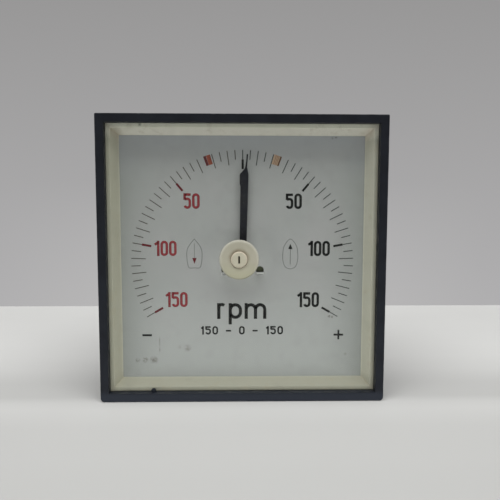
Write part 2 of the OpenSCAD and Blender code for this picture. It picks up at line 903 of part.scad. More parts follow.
module spindle() {
    front = regulator_back + small;
    back = rear_pivot_y - small;
    root = 0.3;
    tip = 0.04;
    profile = [
        [0, front - pivot_l], [tip, front - pivot_l], [root, front - small], [root, front],
        [spindle_r, front], [spindle_r, back], [root, back], [root, back + small], [tip, back + pivot_l],
        [0, back + pivot_l]
    ];
    color(steel) at_rest() turned_y(profile);
}

module balance_cross() {
    centre_r = 2.2;
    upright_l = 13;
    side_l = 9;
    hub_half = 0.5;
    color(brass) at_rest() translate([0, balance_y, 0]) difference() {
        union() {
            rod_y(centre_r, -hub_half, hub_half);
            cylinder(r = balance_wire_r, h = upright_l);
            rod_x(balance_wire_r, -side_l, side_l);
        }
        rod_y(spindle_r + fit, -2 * over, 2 * over);
    }
}

module balance_weights() {
    weight_at = 6.5;
    side_weight_r = 1.4;
    side_weight_half = 1;
    hole_l = 20;
    hole_r = balance_wire_r + fit;
    color(brass) at_rest() translate([0, balance_y, 0]) {
        difference() {
            translate([0, 0, weight_at]) cylinder(r = weight_r, h = weight_l);
            cylinder(r = hole_r, h = hole_l);
        }
        for (side = [-1, 1]) difference() {
            rod_x(side_weight_r, side * weight_at - side_weight_half, side * weight_at + side_weight_half);
            rod_x(hole_r, -0.6 * hole_l, 0.6 * hole_l);
        }
    }
}

module coil_arm(y) {
    eye_w = 0.4;
    reach = core_out_r - 3;
    color(aluminium) at_rest() difference() {
        union() {
            rod_y(arm_half + eye_w, y, y + arm_t);
            slab_y(y, y + arm_t) translate([-arm_half, -reach]) square([2 * arm_half, reach]);
        }
        rod_y(spindle_r + fit, y - over, y + arm_t + over);
    }
}

module front_coil_arm() {
    coil_arm(coil_front - arm_t);
}

module rear_coil_arm() {
    coil_arm(coil_back);
}

// A rectangle round the ring core's section, a distance away from the iron
module coil_outline(gap) {
    corner_r = 0.4;
    low = core_out_r + gap;
    high = core_in_r - core_side_play - gap;
    translate([core_y + core_len / 2, -(low + high) / 2])
        polygon(rounded(core_len / 2 + gap, (low - high) / 2, corner_r + gap / 2, 4));
}

module coil_former() {
    inner = coil_clear;
    tube = inner + former_t;
    color(aluminium) at_rest() {
        difference() {
            slab_x(former_w) coil_outline(tube);
            slab_x(former_w + 2 * over) coil_outline(inner);
        }
        both_sides((former_w - former_flange_t) / 2) difference() {
            slab_x(former_flange_t) coil_outline(tube + winding_t);
            slab_x(former_flange_t + over) coil_outline(inner);
        }
    }
}

module coil_winding() {
    tube = coil_clear + former_t;
    color([0.55, 0.25, 0.12]) at_rest() difference() {
        slab_x(former_w - 2 * (former_flange_t + fit)) coil_outline(tube + winding_t);
        slab_x(former_w + 2 * over) coil_outline(tube + fit);
    }
}

module spring_anchor() {
    anchor_r = 3.2;
    arm_side = 1;
    stud_at = rear_spring_r + spring_t + stud_pin_r;
    color(brass) at_axis() difference() {
        union() {
            rod_y(anchor_r, anchor_y, chassis_y);
            slab_y(anchor_y, chassis_y) translate([0, -arm_side]) square([stud_at + arm_side, 2 * arm_side]);
            translate([stud_at, 0, 0]) rod_y(stud_pin_r, rear_spring_y - stud_past, anchor_y + small);
        }
        rod_y(jewel_screw_r + fit, anchor_y - over, chassis_y + over);
    }
}

module rear_jewel_screw() {
    jewel_screw(chassis_back + rear_screw_out, rear_pivot_y, 1);
}

module rear_jewel() {
    jewel(rear_pivot_y, 1);
}

module rear_lock_nut() {
    color(brass) at_axis() hex_nut(lock_nut_r, jewel_screw_r, chassis_back, chassis_back + nut_t);
}

// Half a turn of the ring core's open end, as a wedge to cut with
module open_wedge(reach, angle) {
    slab_y(core_y - over, core_back + over)
        polygon([[0, 0], reach * [-sin(angle), cos(angle)], reach * [sin(angle), cos(angle)]]);
}

module ring_core() {
    color(iron) at_axis() difference() {
        rod_y(core_out_r, core_y, core_back);
        rod_y(core_in_r, core_y - over, core_back + over);
        open_wedge(3 * core_out_r, core_open);
    }
}

module core_foot() {
    seat_in = 3;
    color(iron) at_axis() difference() {
        union() {
            intersection() {
                rod_y(core_out_r, core_y, core_back);
                open_wedge(3 * core_out_r, core_open);
            }
            slab_y(core_y, core_back)
                translate([-magnet_w / 2, core_in_r + seat_in])
                    square([magnet_w, foot_top - core_in_r - seat_in]);
        }
        rod_y(core_in_r, core_y - over, core_back + over);
    }
}

module magnet() {
    color([0.5, 0.5, 0.52]) at_axis() slab_y(core_y, core_back)
        translate([-magnet_w / 2, foot_top]) square([magnet_w, magnet_l]);
}

module outer_pole() {
    color(iron) at_axis() difference() {
        union() {
            rod_y(pole_out_r, core_y, core_back);
            slab_y(core_y, core_back) translate([-leg_out, 0]) square([2 * leg_out, pole_top]);
        }
        rod_y(pole_in_r, core_y - over, core_back + over);
        slab_y(core_y - over, core_back + over) translate([-leg_in, 0]) square([2 * leg_in, magnet_top]);
        for (p = pole_screw_places)
            translate([p[0], 0, p[1]]) rod_y(m3_r + small, core_y - over, core_back + over);
    }
}

module pole_spacers() {
    spacer_r = 2.8;
    color(brass) at_axis() for (p = pole_screw_places)
        translate([p[0], 0, p[1]]) difference() {
            rod_y(spacer_r, core_back, chassis_y);
            rod_y(m3_r + small, core_back - over, chassis_y + over);
        }
}

module pole_screws() {
    head_r = 2.75;
    head_t = 2.2;
    nick_w = 0.8;
    nick_deep = 1;
    color(steel) at_axis() for (p = pole_screw_places)
        translate([p[0], 0, p[1]]) difference() {
            union() {
                rod_y(head_r, core_y - head_t, core_y);
                rod_y(m3_r, core_y - small, chassis_back);
            }
            slot_cut(nick_w, core_y - head_t - over, core_y - head_t + nick_deep);
        }
}

module chassis_plate() {
    window_w = 20;
    window_in = 17;
    window = plate_half - 16;
    color(aluminium) difference() {
        slab_y(chassis_y, chassis_back) polygon(rounded(plate_half, plate_half, plate_corner));
        at_axis() {
            rod_y(jewel_screw_r + fit, chassis_y - over, chassis_back + over);
            for (p = pole_screw_places)
                translate([p[0], 0, p[1]]) rod_y(m3_r + fit, chassis_y - over, chassis_back + over);
        }
        both_sides(plate_half - window_in)
            slab_y(chassis_y - over, chassis_back + over) square([window_w, window], center = true);
        corners(pillar_xz) rod_y(m3_r + small, chassis_y - over, chassis_back + over);
        both_sides(board_screw_x)
            translate([0, 0, board_z]) rod_y(m3_r + fit, chassis_y - over, chassis_back + over);
    }
}

module front_pillars() {
    tap_l = 8;
    color(steel) corners(pillar_xz) difference() {
        rod_y(pillar_r, plate_back, chassis_y);
        rod_y(m3_r + fit, plate_back - over, plate_back + tap_l);
        rod_y(m3_r + fit, chassis_y - tap_l, chassis_y + over);
    }
}

module rear_pillars() {
    tail_l = 7;
    tap_l = 9;
    color(steel) corners(pillar_xz) difference() {
        union() {
            rod_y(pillar_r, chassis_back, wall_y);
            rod_y(m3_r, chassis_y - tail_l, chassis_back + small);
        }
        rod_y(m3_r + fit, wall_y - tap_l, wall_y + over);
    }
}

// A screw from behind, with a pan head and a slot
module pan_screw(head_r, head_t, y, l) {
    nick_w = 0.8;
    nick_deep = 1;
    difference() {
        union() {
            rod_y(head_r, y, y + head_t);
            rod_y(m3_r, y - l, y + small);
        }
        slot_cut(nick_w, y + head_t - nick_deep, y + head_t + over);
    }
}

module case_screws() {
    head_r = 3;
    head_t = 2.3;
    screw_l = 9;
    color(steel) corners(pillar_xz) pan_screw(head_r, head_t, case_depth, screw_l);
}

module terminal_board() {
    rib_t = 2.5;
    board_corner = 3;
    color([0.12, 0.1, 0.09]) translate([0, 0, terminal_z]) difference() {
        union() {
            slab_y(case_depth, base_back) polygon(rounded(board_w / 2, board_h / 2, board_corner));
            slab_y(plug_y, case_depth + small) square([plug_w, plug_h], center = true);
            difference() {
                slab_y(shroud_foot, base_back + shroud_l) square([shroud_w, shroud_h], center = true);
                slab_y(base_back, base_back + shroud_l + over)
                    square([shroud_w - 2 * shroud_wall, shroud_h - 2 * shroud_wall], center = true);
            }
            slab_y(shroud_foot, base_back + shroud_l) square([rib_t, shroud_h], center = true);
        }
        both_sides(terminal_span / 2) rod_y(stud_r + small, plug_y - over, base_back + over);
        both_sides(board_bolt_x) rod_y(m3_r + screw_play, case_depth - over, base_back + over);
    }
}

module terminal_board_screws() {
    head_r = 3;
    head_t = 2.2;
    thread_past = 3;
    color(steel) translate([0, 0, terminal_z]) both_sides(board_bolt_x)
        pan_screw(head_r, head_t, base_back, base_t + case_wall + thread_past);
}

module terminal_board_nuts() {
    color(steel) translate([0, 0, terminal_z]) both_sides(board_bolt_x)
        hex_nut(m3_nut_r, m3_r, wall_y - m3_nut_t, wall_y);
}

module terminal_places() {
    translate([0, 0, terminal_z]) both_sides(terminal_span / 2) children();
}

module terminal_studs() {
    end_bevel = 0.4;
    color(brass) terminal_places() {
        rod_y(stud_r, plug_y - stud_in, case_depth + stud_out - end_bevel);
        cone_y(stud_r, stud_r - end_bevel, case_depth + stud_out - end_bevel, case_depth + stud_out);
    }
}

module terminal_nuts() {
    outer = base_back + terminal_nut_t + washer_t;
    color(brass) terminal_places() {
        hex_nut(terminal_nut_r, stud_r, base_back, base_back + terminal_nut_t);
        hex_nut(terminal_nut_r, stud_r, outer, outer + terminal_nut_t);
    }
}

module terminal_washers() {
    y = base_back + terminal_nut_t;
    color(brass) terminal_places() difference() {
        rod_y(washer_r, y, y + washer_t);
        rod_y(stud_r + fit, y - over, y + washer_t + over);
    }
}

module inner_nuts() {
    back = plug_y - tag_t;
    color(brass) terminal_places() hex_nut(terminal_nut_r, stud_r, back - terminal_nut_t, back);
}

module solder_tags() {
    tag_w = 3;
    color(steel) terminal_places() difference() {
        union() {
            rod_y(2 * stud_r, plug_y - tag_t, plug_y);
            slab_y(plug_y - tag_t, plug_y) translate([-tag_w / 2, 0]) square([tag_w, tag_l]);
        }
        rod_y(stud_r + fit, plug_y - 2 * over, plug_y + over);
    }
}

module resistor_board() {
    card = [60, 24];
    card_corner = 1;
    wire_hole_r = 0.45;
    color(paxolin) translate([0, 0, board_z]) difference() {
        slab_y(board_y, board_back) polygon(rounded(card[0] / 2, card[1] / 2, card_corner));
        both_sides(board_screw_x) rod_y(m3_r + small, board_y - over, board_back + over);
        resistor_places() both_sides(resistor_foot_x) rod_y(wire_hole_r, board_y - over, board_back + over);
    }
}

module resistor_places() {
    for (i = [-1:1])
        translate([0, 0, i * resistor_pitch]) children();
}

module resistor_board_spacers() {
    spacer_r = 3;
    color(brass) translate([0, 0, board_z]) both_sides(board_screw_x) difference() {
        rod_y(spacer_r, chassis_back, board_y);
        rod_y(m3_r + small, chassis_back - over, board_y + over);
    }
}

module resistor_board_screws() {
    head_r = 2.8;
    head_t = 1.9;
    color(steel) translate([0, 0, board_z]) both_sides(board_screw_x)
        pan_screw(head_r, head_t, board_back, board_t + board_spacer_l + chassis_t);
}

module resistors() {
    wire_r = 0.35;
    wire_past = 0.3;
    foot_r = 0.4;
    color([0.5, 0.3, 0.2]) translate([0, 0, board_z]) resistor_places() {
        translate([0, resistor_y, 0]) rod_x(resistor_r, -resistor_l / 2, resistor_l / 2);
        translate([0, resistor_y, 0])
            rod_x(wire_r, -resistor_foot_x - wire_past, resistor_foot_x + wire_past);
        both_sides(resistor_foot_x) rod_y(foot_r, board_y - 0.5, resistor_y);
    }
}

module internal_leads() {
    color([0.2, 0.35, 0.2]) for (route = leads) wire(route, lead_r);
}

bezel();
bezel_screws();
glass();
glass_gasket();
mask_frame();
case_shell();
hub_cap();
cap_ring();
zero_button();
adjuster_crank();
dial_plate();
front_plate();
front_plate_screws();
front_bridge();
bridge_screws();
front_jewel_screw();
front_jewel();
front_lock_nut();
regulator();
front_hairspring();
front_collet();
pointer();
pointer_hub();
stop_pin();
spindle();
balance_cross();
balance_weights();
front_coil_arm();
rear_coil_arm();
coil_former();
coil_winding();
rear_collet();
rear_hairspring();
spring_anchor();
rear_jewel_screw();
rear_jewel();
rear_lock_nut();
ring_core();
core_foot();
magnet();
outer_pole();
pole_spacers();
pole_screws();
chassis_plate();
front_pillars();
rear_pillars();
case_screws();
terminal_board();
terminal_board_screws();
terminal_board_nuts();
terminal_studs();
terminal_nuts();
terminal_washers();
inner_nuts();
solder_tags();
resistor_board();
resistor_board_spacers();
resistor_board_screws();
resistors();
internal_leads();
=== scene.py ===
import json
import math

import bmesh
import bpy
from mathutils import Euler, Matrix, Vector


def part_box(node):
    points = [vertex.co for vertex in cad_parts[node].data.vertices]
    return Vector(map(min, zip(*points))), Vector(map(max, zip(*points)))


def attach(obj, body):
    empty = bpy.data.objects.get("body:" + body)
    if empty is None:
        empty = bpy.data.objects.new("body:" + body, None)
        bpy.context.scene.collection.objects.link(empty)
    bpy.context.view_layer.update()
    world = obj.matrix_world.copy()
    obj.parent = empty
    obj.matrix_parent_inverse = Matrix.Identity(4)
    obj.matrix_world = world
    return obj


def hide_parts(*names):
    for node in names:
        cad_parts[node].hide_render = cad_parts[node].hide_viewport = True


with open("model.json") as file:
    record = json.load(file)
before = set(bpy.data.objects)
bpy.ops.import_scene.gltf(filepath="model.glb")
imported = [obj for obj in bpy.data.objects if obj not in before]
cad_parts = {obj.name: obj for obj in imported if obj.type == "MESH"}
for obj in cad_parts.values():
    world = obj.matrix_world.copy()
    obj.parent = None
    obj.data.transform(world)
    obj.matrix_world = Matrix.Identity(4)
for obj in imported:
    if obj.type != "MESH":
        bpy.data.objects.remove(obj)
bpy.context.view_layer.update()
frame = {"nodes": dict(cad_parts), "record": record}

# Lengths in this script are in millimetres, and MM turns them into metres
MM = 0.001

# Sizes taken from the frame
bezel_low, bezel_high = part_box("bezel")
glass_low, glass_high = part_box("glass")
cap_low, cap_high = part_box("hub_cap")
button_low, button_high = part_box("zero_button")
spindle_low, spindle_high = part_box("spindle")
pointer_low, pointer_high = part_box("pointer")
dial_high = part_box("dial_plate")[1]
case_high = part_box("case_shell")[1]

HALF = bezel_high.x / MM
FACE = bezel_low.y / MM
GLASS_FRONT = glass_low.y / MM
GLASS_BACK = glass_high.y / MM
PANE_HALF = glass_high.x / MM
DIAL_THICK = 0.8
DIAL_FACE = dial_high.y / MM - DIAL_THICK
HUB_X = (cap_low.x + cap_high.x) / 2 / MM
HUB_Z = (cap_low.z + cap_high.z) / 2 / MM
CAP_R = (cap_high.x - cap_low.x) / 2 / MM
CAP_FRONT = cap_low.y / MM
BUTTON_FRONT = button_low.y / MM
BUTTON_R = (button_high.x - button_low.x) / 2 / MM
AXIS_Z = (spindle_low.z + spindle_high.z) / 2 / MM
CASE_BACK = case_high.y / MM
CASE_HALF = 68.0
BEZEL_BAR = 4.2

# The photograph's camera: place, turn in degrees, lens and film, and the picture's side in pixels
CAMERA_PLACE = (-1.5, -255.7, 25.9)
CAMERA_TURN = (85.28, -0.09, -1.17)
LENS = 36.0
FILM = 36.0
PICTURE = 500

# The slope of the table under the leaning instrument, where the table ends behind, and how deep it is
LEAN = math.atan2(bezel_high.z - case_high.z, case_high.y)
TABLE_END = 214.0
TABLE_DEPTH = 550.0
# The table's grey at distances behind the bezel's seat, with painted light and shade: a dark band just in
# front of the low front lamp where its light falls, a paler band just in front of the bezel, and the
# instrument's shadow painted beside it just behind its front
TABLE_PAINTED_LIGHT_AND_SHADE_GREYS = (
    (-300, 176), (-145, 174), (-139, 170), (-133, 157), (-126, 137), (-118, 147), (-110, 155), (-102, 162),
    (-95, 167), (-64, 178), (-35, 184), (-16.4, 193), (-8.5, 191), (-1, 181), (18, 185), (39, 198),
    (65, 204), (90, 206), (125, 205), (165, 205), (220, 209),
)

# Light from the room below, at the horizon and overhead, and what is added to the sides and in front
LIGHT_BELOW = 0.1
LIGHT_LOW = 0.3
LIGHT_HIGH = 0.75
LIGHT_SIDE = 0.3
LIGHT_FRONT = 0.15
# How bright the room in front is when it is mirrored, and the lamps' watts, places and sizes in metres
ROOM_FRONT = 0.25
OVERHEAD_POWER = 9.0
OVERHEAD_PLACE = (0.0, -0.4, 0.9)
OVERHEAD_SIZE = (1.2, 0.5)
FRONT_POWER = 0.12
FRONT_PLACE = (0.0, -0.14, -0.064)
FRONT_SIZE = (0.3, 0.014)

# Thickness of the printing on the dial
INK_THICK = 0.03


def clear_selection():
    bpy.ops.object.select_all(action="DESELECT")


def select_only(piece):
    clear_selection()
    piece.select_set(True)
    bpy.context.view_layer.objects.active = piece


def edit(piece):
    select_only(piece)
    bpy.ops.object.mode_set(mode="EDIT")


def leave_editing():
    bpy.ops.object.mode_set(mode="OBJECT")


def new_object(name, data):
    """An object in the scene that holds the given mesh, curve, lamp or camera."""
    thing = bpy.data.objects.new(name, data)
    bpy.context.scene.collection.objects.link(thing)
    return thing


def shift(piece, x, y, z):
    piece.data.transform(Matrix.Translation((x * MM, y * MM, z * MM)))


def turn(piece, angle, axis):
    """Turns a piece about an axis through the origin, by degrees."""
    piece.data.transform(Matrix.Rotation(math.radians(angle), 4, axis))


def turn_on_spindle(piece, angle):
    """Turns a piece clockwise, as seen from the front, about the pointer's axis."""
    centre = Vector((0, 0, AXIS_Z * MM))
    turned = Matrix.Rotation(math.radians(angle), 4, "Y")
    piece.data.transform(Matrix.Translation(centre) @ turned @ Matrix.Translation(-centre))


def apply_place(piece):
    """Puts a piece's place, turn and size into its mesh."""
    select_only(piece)
    bpy.ops.object.transform_apply(location=True, rotation=True, scale=True)


def clean(piece):
    """Merges doubled points and turns the faces outwards."""
    edit(piece)
    bpy.ops.mesh.select_all(action="SELECT")
    bpy.ops.mesh.remove_doubles(threshold=0.002 * MM)
    bpy.ops.mesh.normals_make_consistent(inside=False)
    leave_editing()


def apply_modifiers(piece):
    select_only(piece)
    for modifier in list(piece.modifiers):
        bpy.ops.object.modifier_apply(modifier=modifier.name)


def soften(piece, width, segments=3, angle=40):
    """Rounds a piece's sharp edges, and keeps its flats evenly shaded."""
    select_only(piece)
    bpy.ops.object.shade_smooth_by_angle(angle=math.radians(angle))
    bevel = piece.modifiers.new("soft_edges", "BEVEL")
    bevel.width = width * MM
    bevel.segments = segments
    bevel.limit_method = "ANGLE"
    bevel.angle_limit = math.radians(angle)
    bevel.use_clamp_overlap = True
    bevel.harden_normals = True
    apply_modifiers(piece)


def round_edges(piece, radius, segments, chosen):
    """Rounds the edges for whose two ends the given test is true."""
    edit(piece)
    mesh = bmesh.from_edit_mesh(piece.data)
    bpy.ops.mesh.select_mode(type="EDGE")
    bpy.ops.mesh.select_all(action="DESELECT")
    for edge in mesh.edges:
        edge.select_set(chosen(*(v.co for v in edge.verts)))
    bmesh.update_edit_mesh(piece.data)
    bpy.ops.mesh.bevel(offset=radius * MM, segments=segments)
    leave_editing()


def cut(piece, cutter):
    """Takes the cutter's shape out of a piece, and removes the cutter."""
    hole = piece.modifiers.new("cut", "BOOLEAN")
    hole.operation = "DIFFERENCE"
    hole.solver = "EXACT"
    hole.object = cutter
    apply_modifiers(piece)
    bpy.data.objects.remove(cutter)


def joined(name, parts):
    """One piece made of several."""
    clear_selection()
    for part in parts:
        part.select_set(True)
    bpy.context.view_layer.objects.active = parts[0]
    if len(parts) > 1:
        bpy.ops.object.join()
    parts[0].name = name
    return parts[0]


def swept_outline(name, outline, sides=96, centre=(0, 0), closed=False):
    """A piece drawn along an outline of (half width, depth) about an axis along Y.

    With 4 sides it is a square frame with mitred corners, otherwise it is turned.
    A closed outline gives a ring, and an open one gets a flat cap at each end."""
    corner = math.sqrt(2) if sides == 4 else 1
    half, depth = outline[0]
    clear_selection()
    bpy.ops.mesh.primitive_circle_add(
        vertices=sides,
        radius=half * corner * MM,
        fill_type="NOTHING" if closed else "NGON",
        location=(centre[0] * MM, depth * MM, centre[1] * MM),
        rotation=(math.radians(90), math.radians(45 if sides == 4 else 0), 0),
    )
    piece = bpy.context.object
    piece.name = name
    apply_place(piece)
    edit(piece)
    bpy.ops.mesh.select_all(action="SELECT")
    for next_half, next_depth in outline[1:] + (outline[:1] if closed else []):
        bpy.ops.mesh.extrude_region_move(TRANSFORM_OT_translate={"value": (0, (next_depth - depth) * MM, 0)})
        ratio = next_half / half
        middle = (centre[0] * MM, next_depth * MM, centre[1] * MM)
        bpy.ops.transform.resize(value=(ratio, 1, ratio), center_override=middle)
        half, depth = next_half, next_depth
    leave_editing()
    clean(piece)
    return piece


def arc(centre, radius, start, end, steps):
    """Points of an arc, from one angle to another in degrees."""
    points = []
    for step in range(steps + 1):
        angle = math.radians(start + (end - start) * step / steps)
        points.append((centre[0] + radius * math.cos(angle), centre[1] + radius * math.sin(angle)))
    return points


def bar(name, size, place):
    """A straight bar of the given size about the given place."""
    clear_selection()
    bpy.ops.mesh.primitive_cube_add(size=1, location=[v * MM for v in place])
    piece = bpy.context.object
    piece.name = name
    piece.scale = [v * MM for v in size]
    apply_place(piece)
    return piece


def paint(red, green, blue):
    """A colour written as it shows on a screen, from 0 to 255, as a linear one."""
    linear = []
    for value in (red, green, blue):
        share = value / 255
        linear.append(share / 12.92 if share <= 0.04045 else ((share + 0.055) / 1.055) ** 2.4)
    return (*linear, 1.0)


class Nodes:
    """The shader nodes of a finish or of the room, and the sums done with them."""

    def __init__(self, tree):
        self.tree = tree

    def add(self, kind, **settings):
        node = self.tree.nodes.new(kind)
        for key, value in settings.items():
            setattr(node, key, value)
        return node

    def join(self, source, target):
        self.tree.links.new(source, target)

    def put(self, value, target):
        """Sets an input to a number or a colour, or links an output to it."""
        if isinstance(value, bpy.types.NodeSocket):
            self.join(value, target)
        else:
            target.default_value = value

    def steps(self, value, low, high, to_low=0.0, to_high=1.0):
        """Spreads the part of a value between low and high over a new range."""
        node = self.add("ShaderNodeMapRange", clamp=True)
        self.put(value, node.inputs["Value"])
        for key, limit in (("From Min", low), ("From Max", high), ("To Min", to_low), ("To Max", to_high)):
            node.inputs[key].default_value = limit
        return node.outputs["Result"]

    def maths(self, operation, first, second=0.0):
        node = self.add("ShaderNodeMath", operation=operation)
        self.put(first, node.inputs[0])
        self.put(second, node.inputs[1])
        return node.outputs[0]

    def times(self, first, second):
        return self.maths("MULTIPLY", first, second)

    def plus(self, first, second):
        return self.maths("ADD", first, second)

    def less(self, first, second):
        return self.maths("SUBTRACT", first, second)

    def power(self, value, exponent):
        return self.maths("POWER", value, exponent)

    def larger(self, first, second):
        return self.maths("MAXIMUM", first, second)

    def unsigned(self, value):
        return self.maths("ABSOLUTE", value)

    def seen_rays(self):
        """1 for what the camera sees straight, in gloss or through glass, and 0 for other light."""
        path = self.add("ShaderNodeLightPath").outputs
        mirrored = self.larger(path["Is Camera Ray"], path["Is Glossy Ray"])
        return self.larger(mirrored, path["Is Transmission Ray"])

    def mixed(self, share, first, second):
        """Two shaders mixed, the second by the given share."""
        mix = self.add("ShaderNodeMixShader")
        for value, target in zip((share, first, second), mix.inputs):
            self.join(value, target)
        return mix.outputs[0]

    def shown(self, shader, output="Material Output"):
        self.join(shader, self.tree.nodes[output].inputs["Surface"])


# The finishes by name, filled in as they are made
FINISHES = {}


class Finish(Nodes):
    """A material in Object coordinates: a ground colour under coats, on one Principled shader."""

    def __init__(self, name, ground, roughness, metallic=0.0, shine=0.5):
        material = bpy.data.materials.new(name)
        material.use_nodes = True
        super().__init__(material.node_tree)
        self.shader = self.tree.nodes["Principled BSDF"]
        self.shader.inputs["Base Color"].default_value = paint(*ground)
        self.shader.inputs["Roughness"].default_value = roughness
        self.shader.inputs["Metallic"].default_value = metallic
        self.shader.inputs["Specular IOR Level"].default_value = shine
        self.place = self.add("ShaderNodeTexCoord").outputs["Object"]
        self.colour = ground
        FINISHES[name] = material

    def axes(self):
        node = self.add("ShaderNodeSeparateXYZ")
        self.join(self.place, node.inputs[0])
        return node.outputs

    def away_from(self, point):
        """Distance from a point, in metres."""
        node = self.add("ShaderNodeVectorMath", operation="DISTANCE")
        self.join(self.place, node.inputs[0])
        node.inputs[1].default_value = [v * MM for v in point]
        return node.outputs["Value"]

    def between(self, value, near, far, to_low=0.0, to_high=1.0):
        """Spreads the part of a place or distance between two millimetre marks over a new range."""
        return self.steps(value, near * MM, far * MM, to_low, to_high)

    def grain(self, size, detail=2.0, stretch=(1, 1, 1), shift=0.0):
        """Noise from 0 to 1 with features of about the given size, drawn out along an axis by stretch."""
        mapping = self.add("ShaderNodeMapping")
        mapping.inputs["Location"].default_value = (shift, shift, shift)
        mapping.inputs["Scale"].default_value = [1 / s for s in stretch]
        self.join(self.place, mapping.inputs["Vector"])
        noise = self.add("ShaderNodeTexNoise")
        noise.inputs["Scale"].default_value = 1 / (size * MM)
        noise.inputs["Detail"].default_value = detail
        self.join(mapping.outputs["Vector"], noise.inputs["Vector"])
        return noise.outputs["Fac"]

    def patches(self, size, detail, low=0.3, high=0.7, to_low=0.0, to_high=1.0, **places):
        """Grain of which the part between low and high is spread over a new range."""
        return self.steps(self.grain(size, detail, **places), low, high, to_low, to_high)

    def blend(self, share, first, second):
        """A colour between two colours, each a tuple or an output."""
        node = self.add("ShaderNodeMix", data_type="RGBA")
        self.put(share, node.inputs["Factor"])
        colours = [s for s in node.inputs if s.type == "RGBA"]
        for value, target in ((first, colours[0]), (second, colours[1])):
            self.put(paint(*value) if isinstance(value, tuple) else value, target)
        return [s for s in node.outputs if s.type == "RGBA"][0]

    def coat(self, share, colour):
        """Lays a colour over what is there, by the given share."""
        self.colour = self.blend(share, self.colour, colour)
        self.join(self.colour, self.shader.inputs["Base Color"])

    def rough(self, value, low, high):
        """Roughness between two values."""
        self.join(self.steps(value, 0.25, 0.75, low, high), self.shader.inputs["Roughness"])

    def raised(self, height, depth, strength=0.5):
        """Bumps of the given depth."""
        node = self.add("ShaderNodeBump")
        node.inputs["Strength"].default_value = strength
        node.inputs["Distance"].default_value = depth * MM
        self.put(height, node.inputs["Height"])
        self.join(node.outputs["Normal"], self.shader.inputs["Normal"])


def bezel_finish():
    """Blue-black moulded plastic with a fine grain, rubbed along the outer edges, with a painted reflection
    of the table lightening its foot.
    """
    finish = Finish("bezel_black", (22, 24, 29), 0.5, shine=0.25)
    x, y, z = finish.axes()
    finish.coat(finish.patches(9, 3), (28, 31, 37))
    # painted reflection: the lowest part of the bezel is painted lighter and bluer, as if the pale table
    # shone in it
    finish.coat(finish.between(z, 6 - HALF, 3 - HALF), (36, 40, 48))
    side = finish.larger(finish.unsigned(x), finish.unsigned(z))
    near_edge = finish.between(side, HALF - 0.5, HALF - 0.1)
    rubbed = finish.times(near_edge, finish.between(y, FACE + 0.5, FACE + 0.1))
    worn = finish.times(rubbed, finish.patches(5, 4, 0.5, 0.62, 0.0, 0.5, shift=3.1))
    finish.coat(worn, (92, 93, 96))
    finish.rough(finish.grain(3), 0.42, 0.58)
    finish.raised(finish.grain(0.35), 0.02, 0.6)


def mask_finish():
    """Yellowed cream paint, mottled, with dirt gathered in the mitres and a chip in the upper edge. Painted
    light makes the top slope and the strip along the top paler and puts a highlight on the inner edge;
    painted shade darkens the foot, the left side and the strip's outer edge by the bezel.
    """
    finish = Finish("mask_cream", (191, 188, 172), 0.6, shine=0.3)
    x, _, z = finish.axes()
    across, up = finish.unsigned(x), finish.unsigned(z)
    outwards = finish.larger(across, up)
    finish.coat(finish.patches(14, 3, 0.32, 0.68), (195, 192, 178))
    # painted light: the top slope, which faces down, is painted paler
    top = finish.between(z, 60, 64)
    finish.coat(top, (224, 219, 207))
    # painted shade: the foot, which faces up, is painted darker
    painted_shade_foot = finish.between(z, -60, -64)
    finish.coat(painted_shade_foot, (173, 170, 155))
    # painted shade: the left side is painted darker
    finish.coat(finish.between(x, -60, -64, 0.0, 0.8), (181, 178, 160))
    # painted light: the flat strip along the top, next to the bezel, is painted paler against the lip's
    # shadow, and a painted highlight runs along the inner edge except at the foot
    painted_light_strip = finish.times(finish.between(outwards, 65.8, 66.1, 0.0, 0.9), top)
    painted_highlight_edge = finish.between(outwards, 63.75, 63.35, 0.0, 0.4)
    painted_highlight_edge = finish.times(painted_highlight_edge, finish.less(1.0, painted_shade_foot))
    finish.coat(finish.larger(painted_light_strip, painted_highlight_edge), (221, 219, 203))
    # painted shade: the strip's outer edge by the bezel's wall is painted darker, less at the top and on the
    # left
    shaded = finish.between(outwards, 66.1, 67.8, 0.0, 0.7)
    shaded = finish.times(shaded, finish.less(1.0, top))
    shaded = finish.times(shaded, finish.between(x, -60, -64, 1.0, 0.45))
    finish.coat(shaded, (141, 138, 124))
    from_mitre = finish.unsigned(finish.less(across, up))
    corner = finish.between(from_mitre, 5.5, 0.4, 0.0, 0.35)
    corner = finish.times(corner, finish.between(z, 56, 62, 0.25, 1.0))
    ragged = finish.patches(3, 3, 0.3, 0.65, 0.3, 1.0, shift=0.6)
    finish.coat(finish.times(corner, ragged), (188, 167, 148))
    mitre = finish.times(finish.between(from_mitre, 0.7, 0.1, 0.0, 0.3), finish.less(1.0, painted_light_strip))
    dirt = finish.patches(4, 3, 0.56, 0.72, 0.0, 0.3, shift=1.7)
    finish.coat(finish.larger(mitre, dirt), (176, 165, 143))
    from_chip = finish.away_from((-51.2, GLASS_BACK, 67.5))
    finish.coat(finish.between(from_chip, 1.1, 0.2, 0.0, 0.7), (86, 83, 72))
    finish.rough(finish.grain(4), 0.5, 0.66)
    finish.raised(finish.grain(0.8, 3), 0.03)


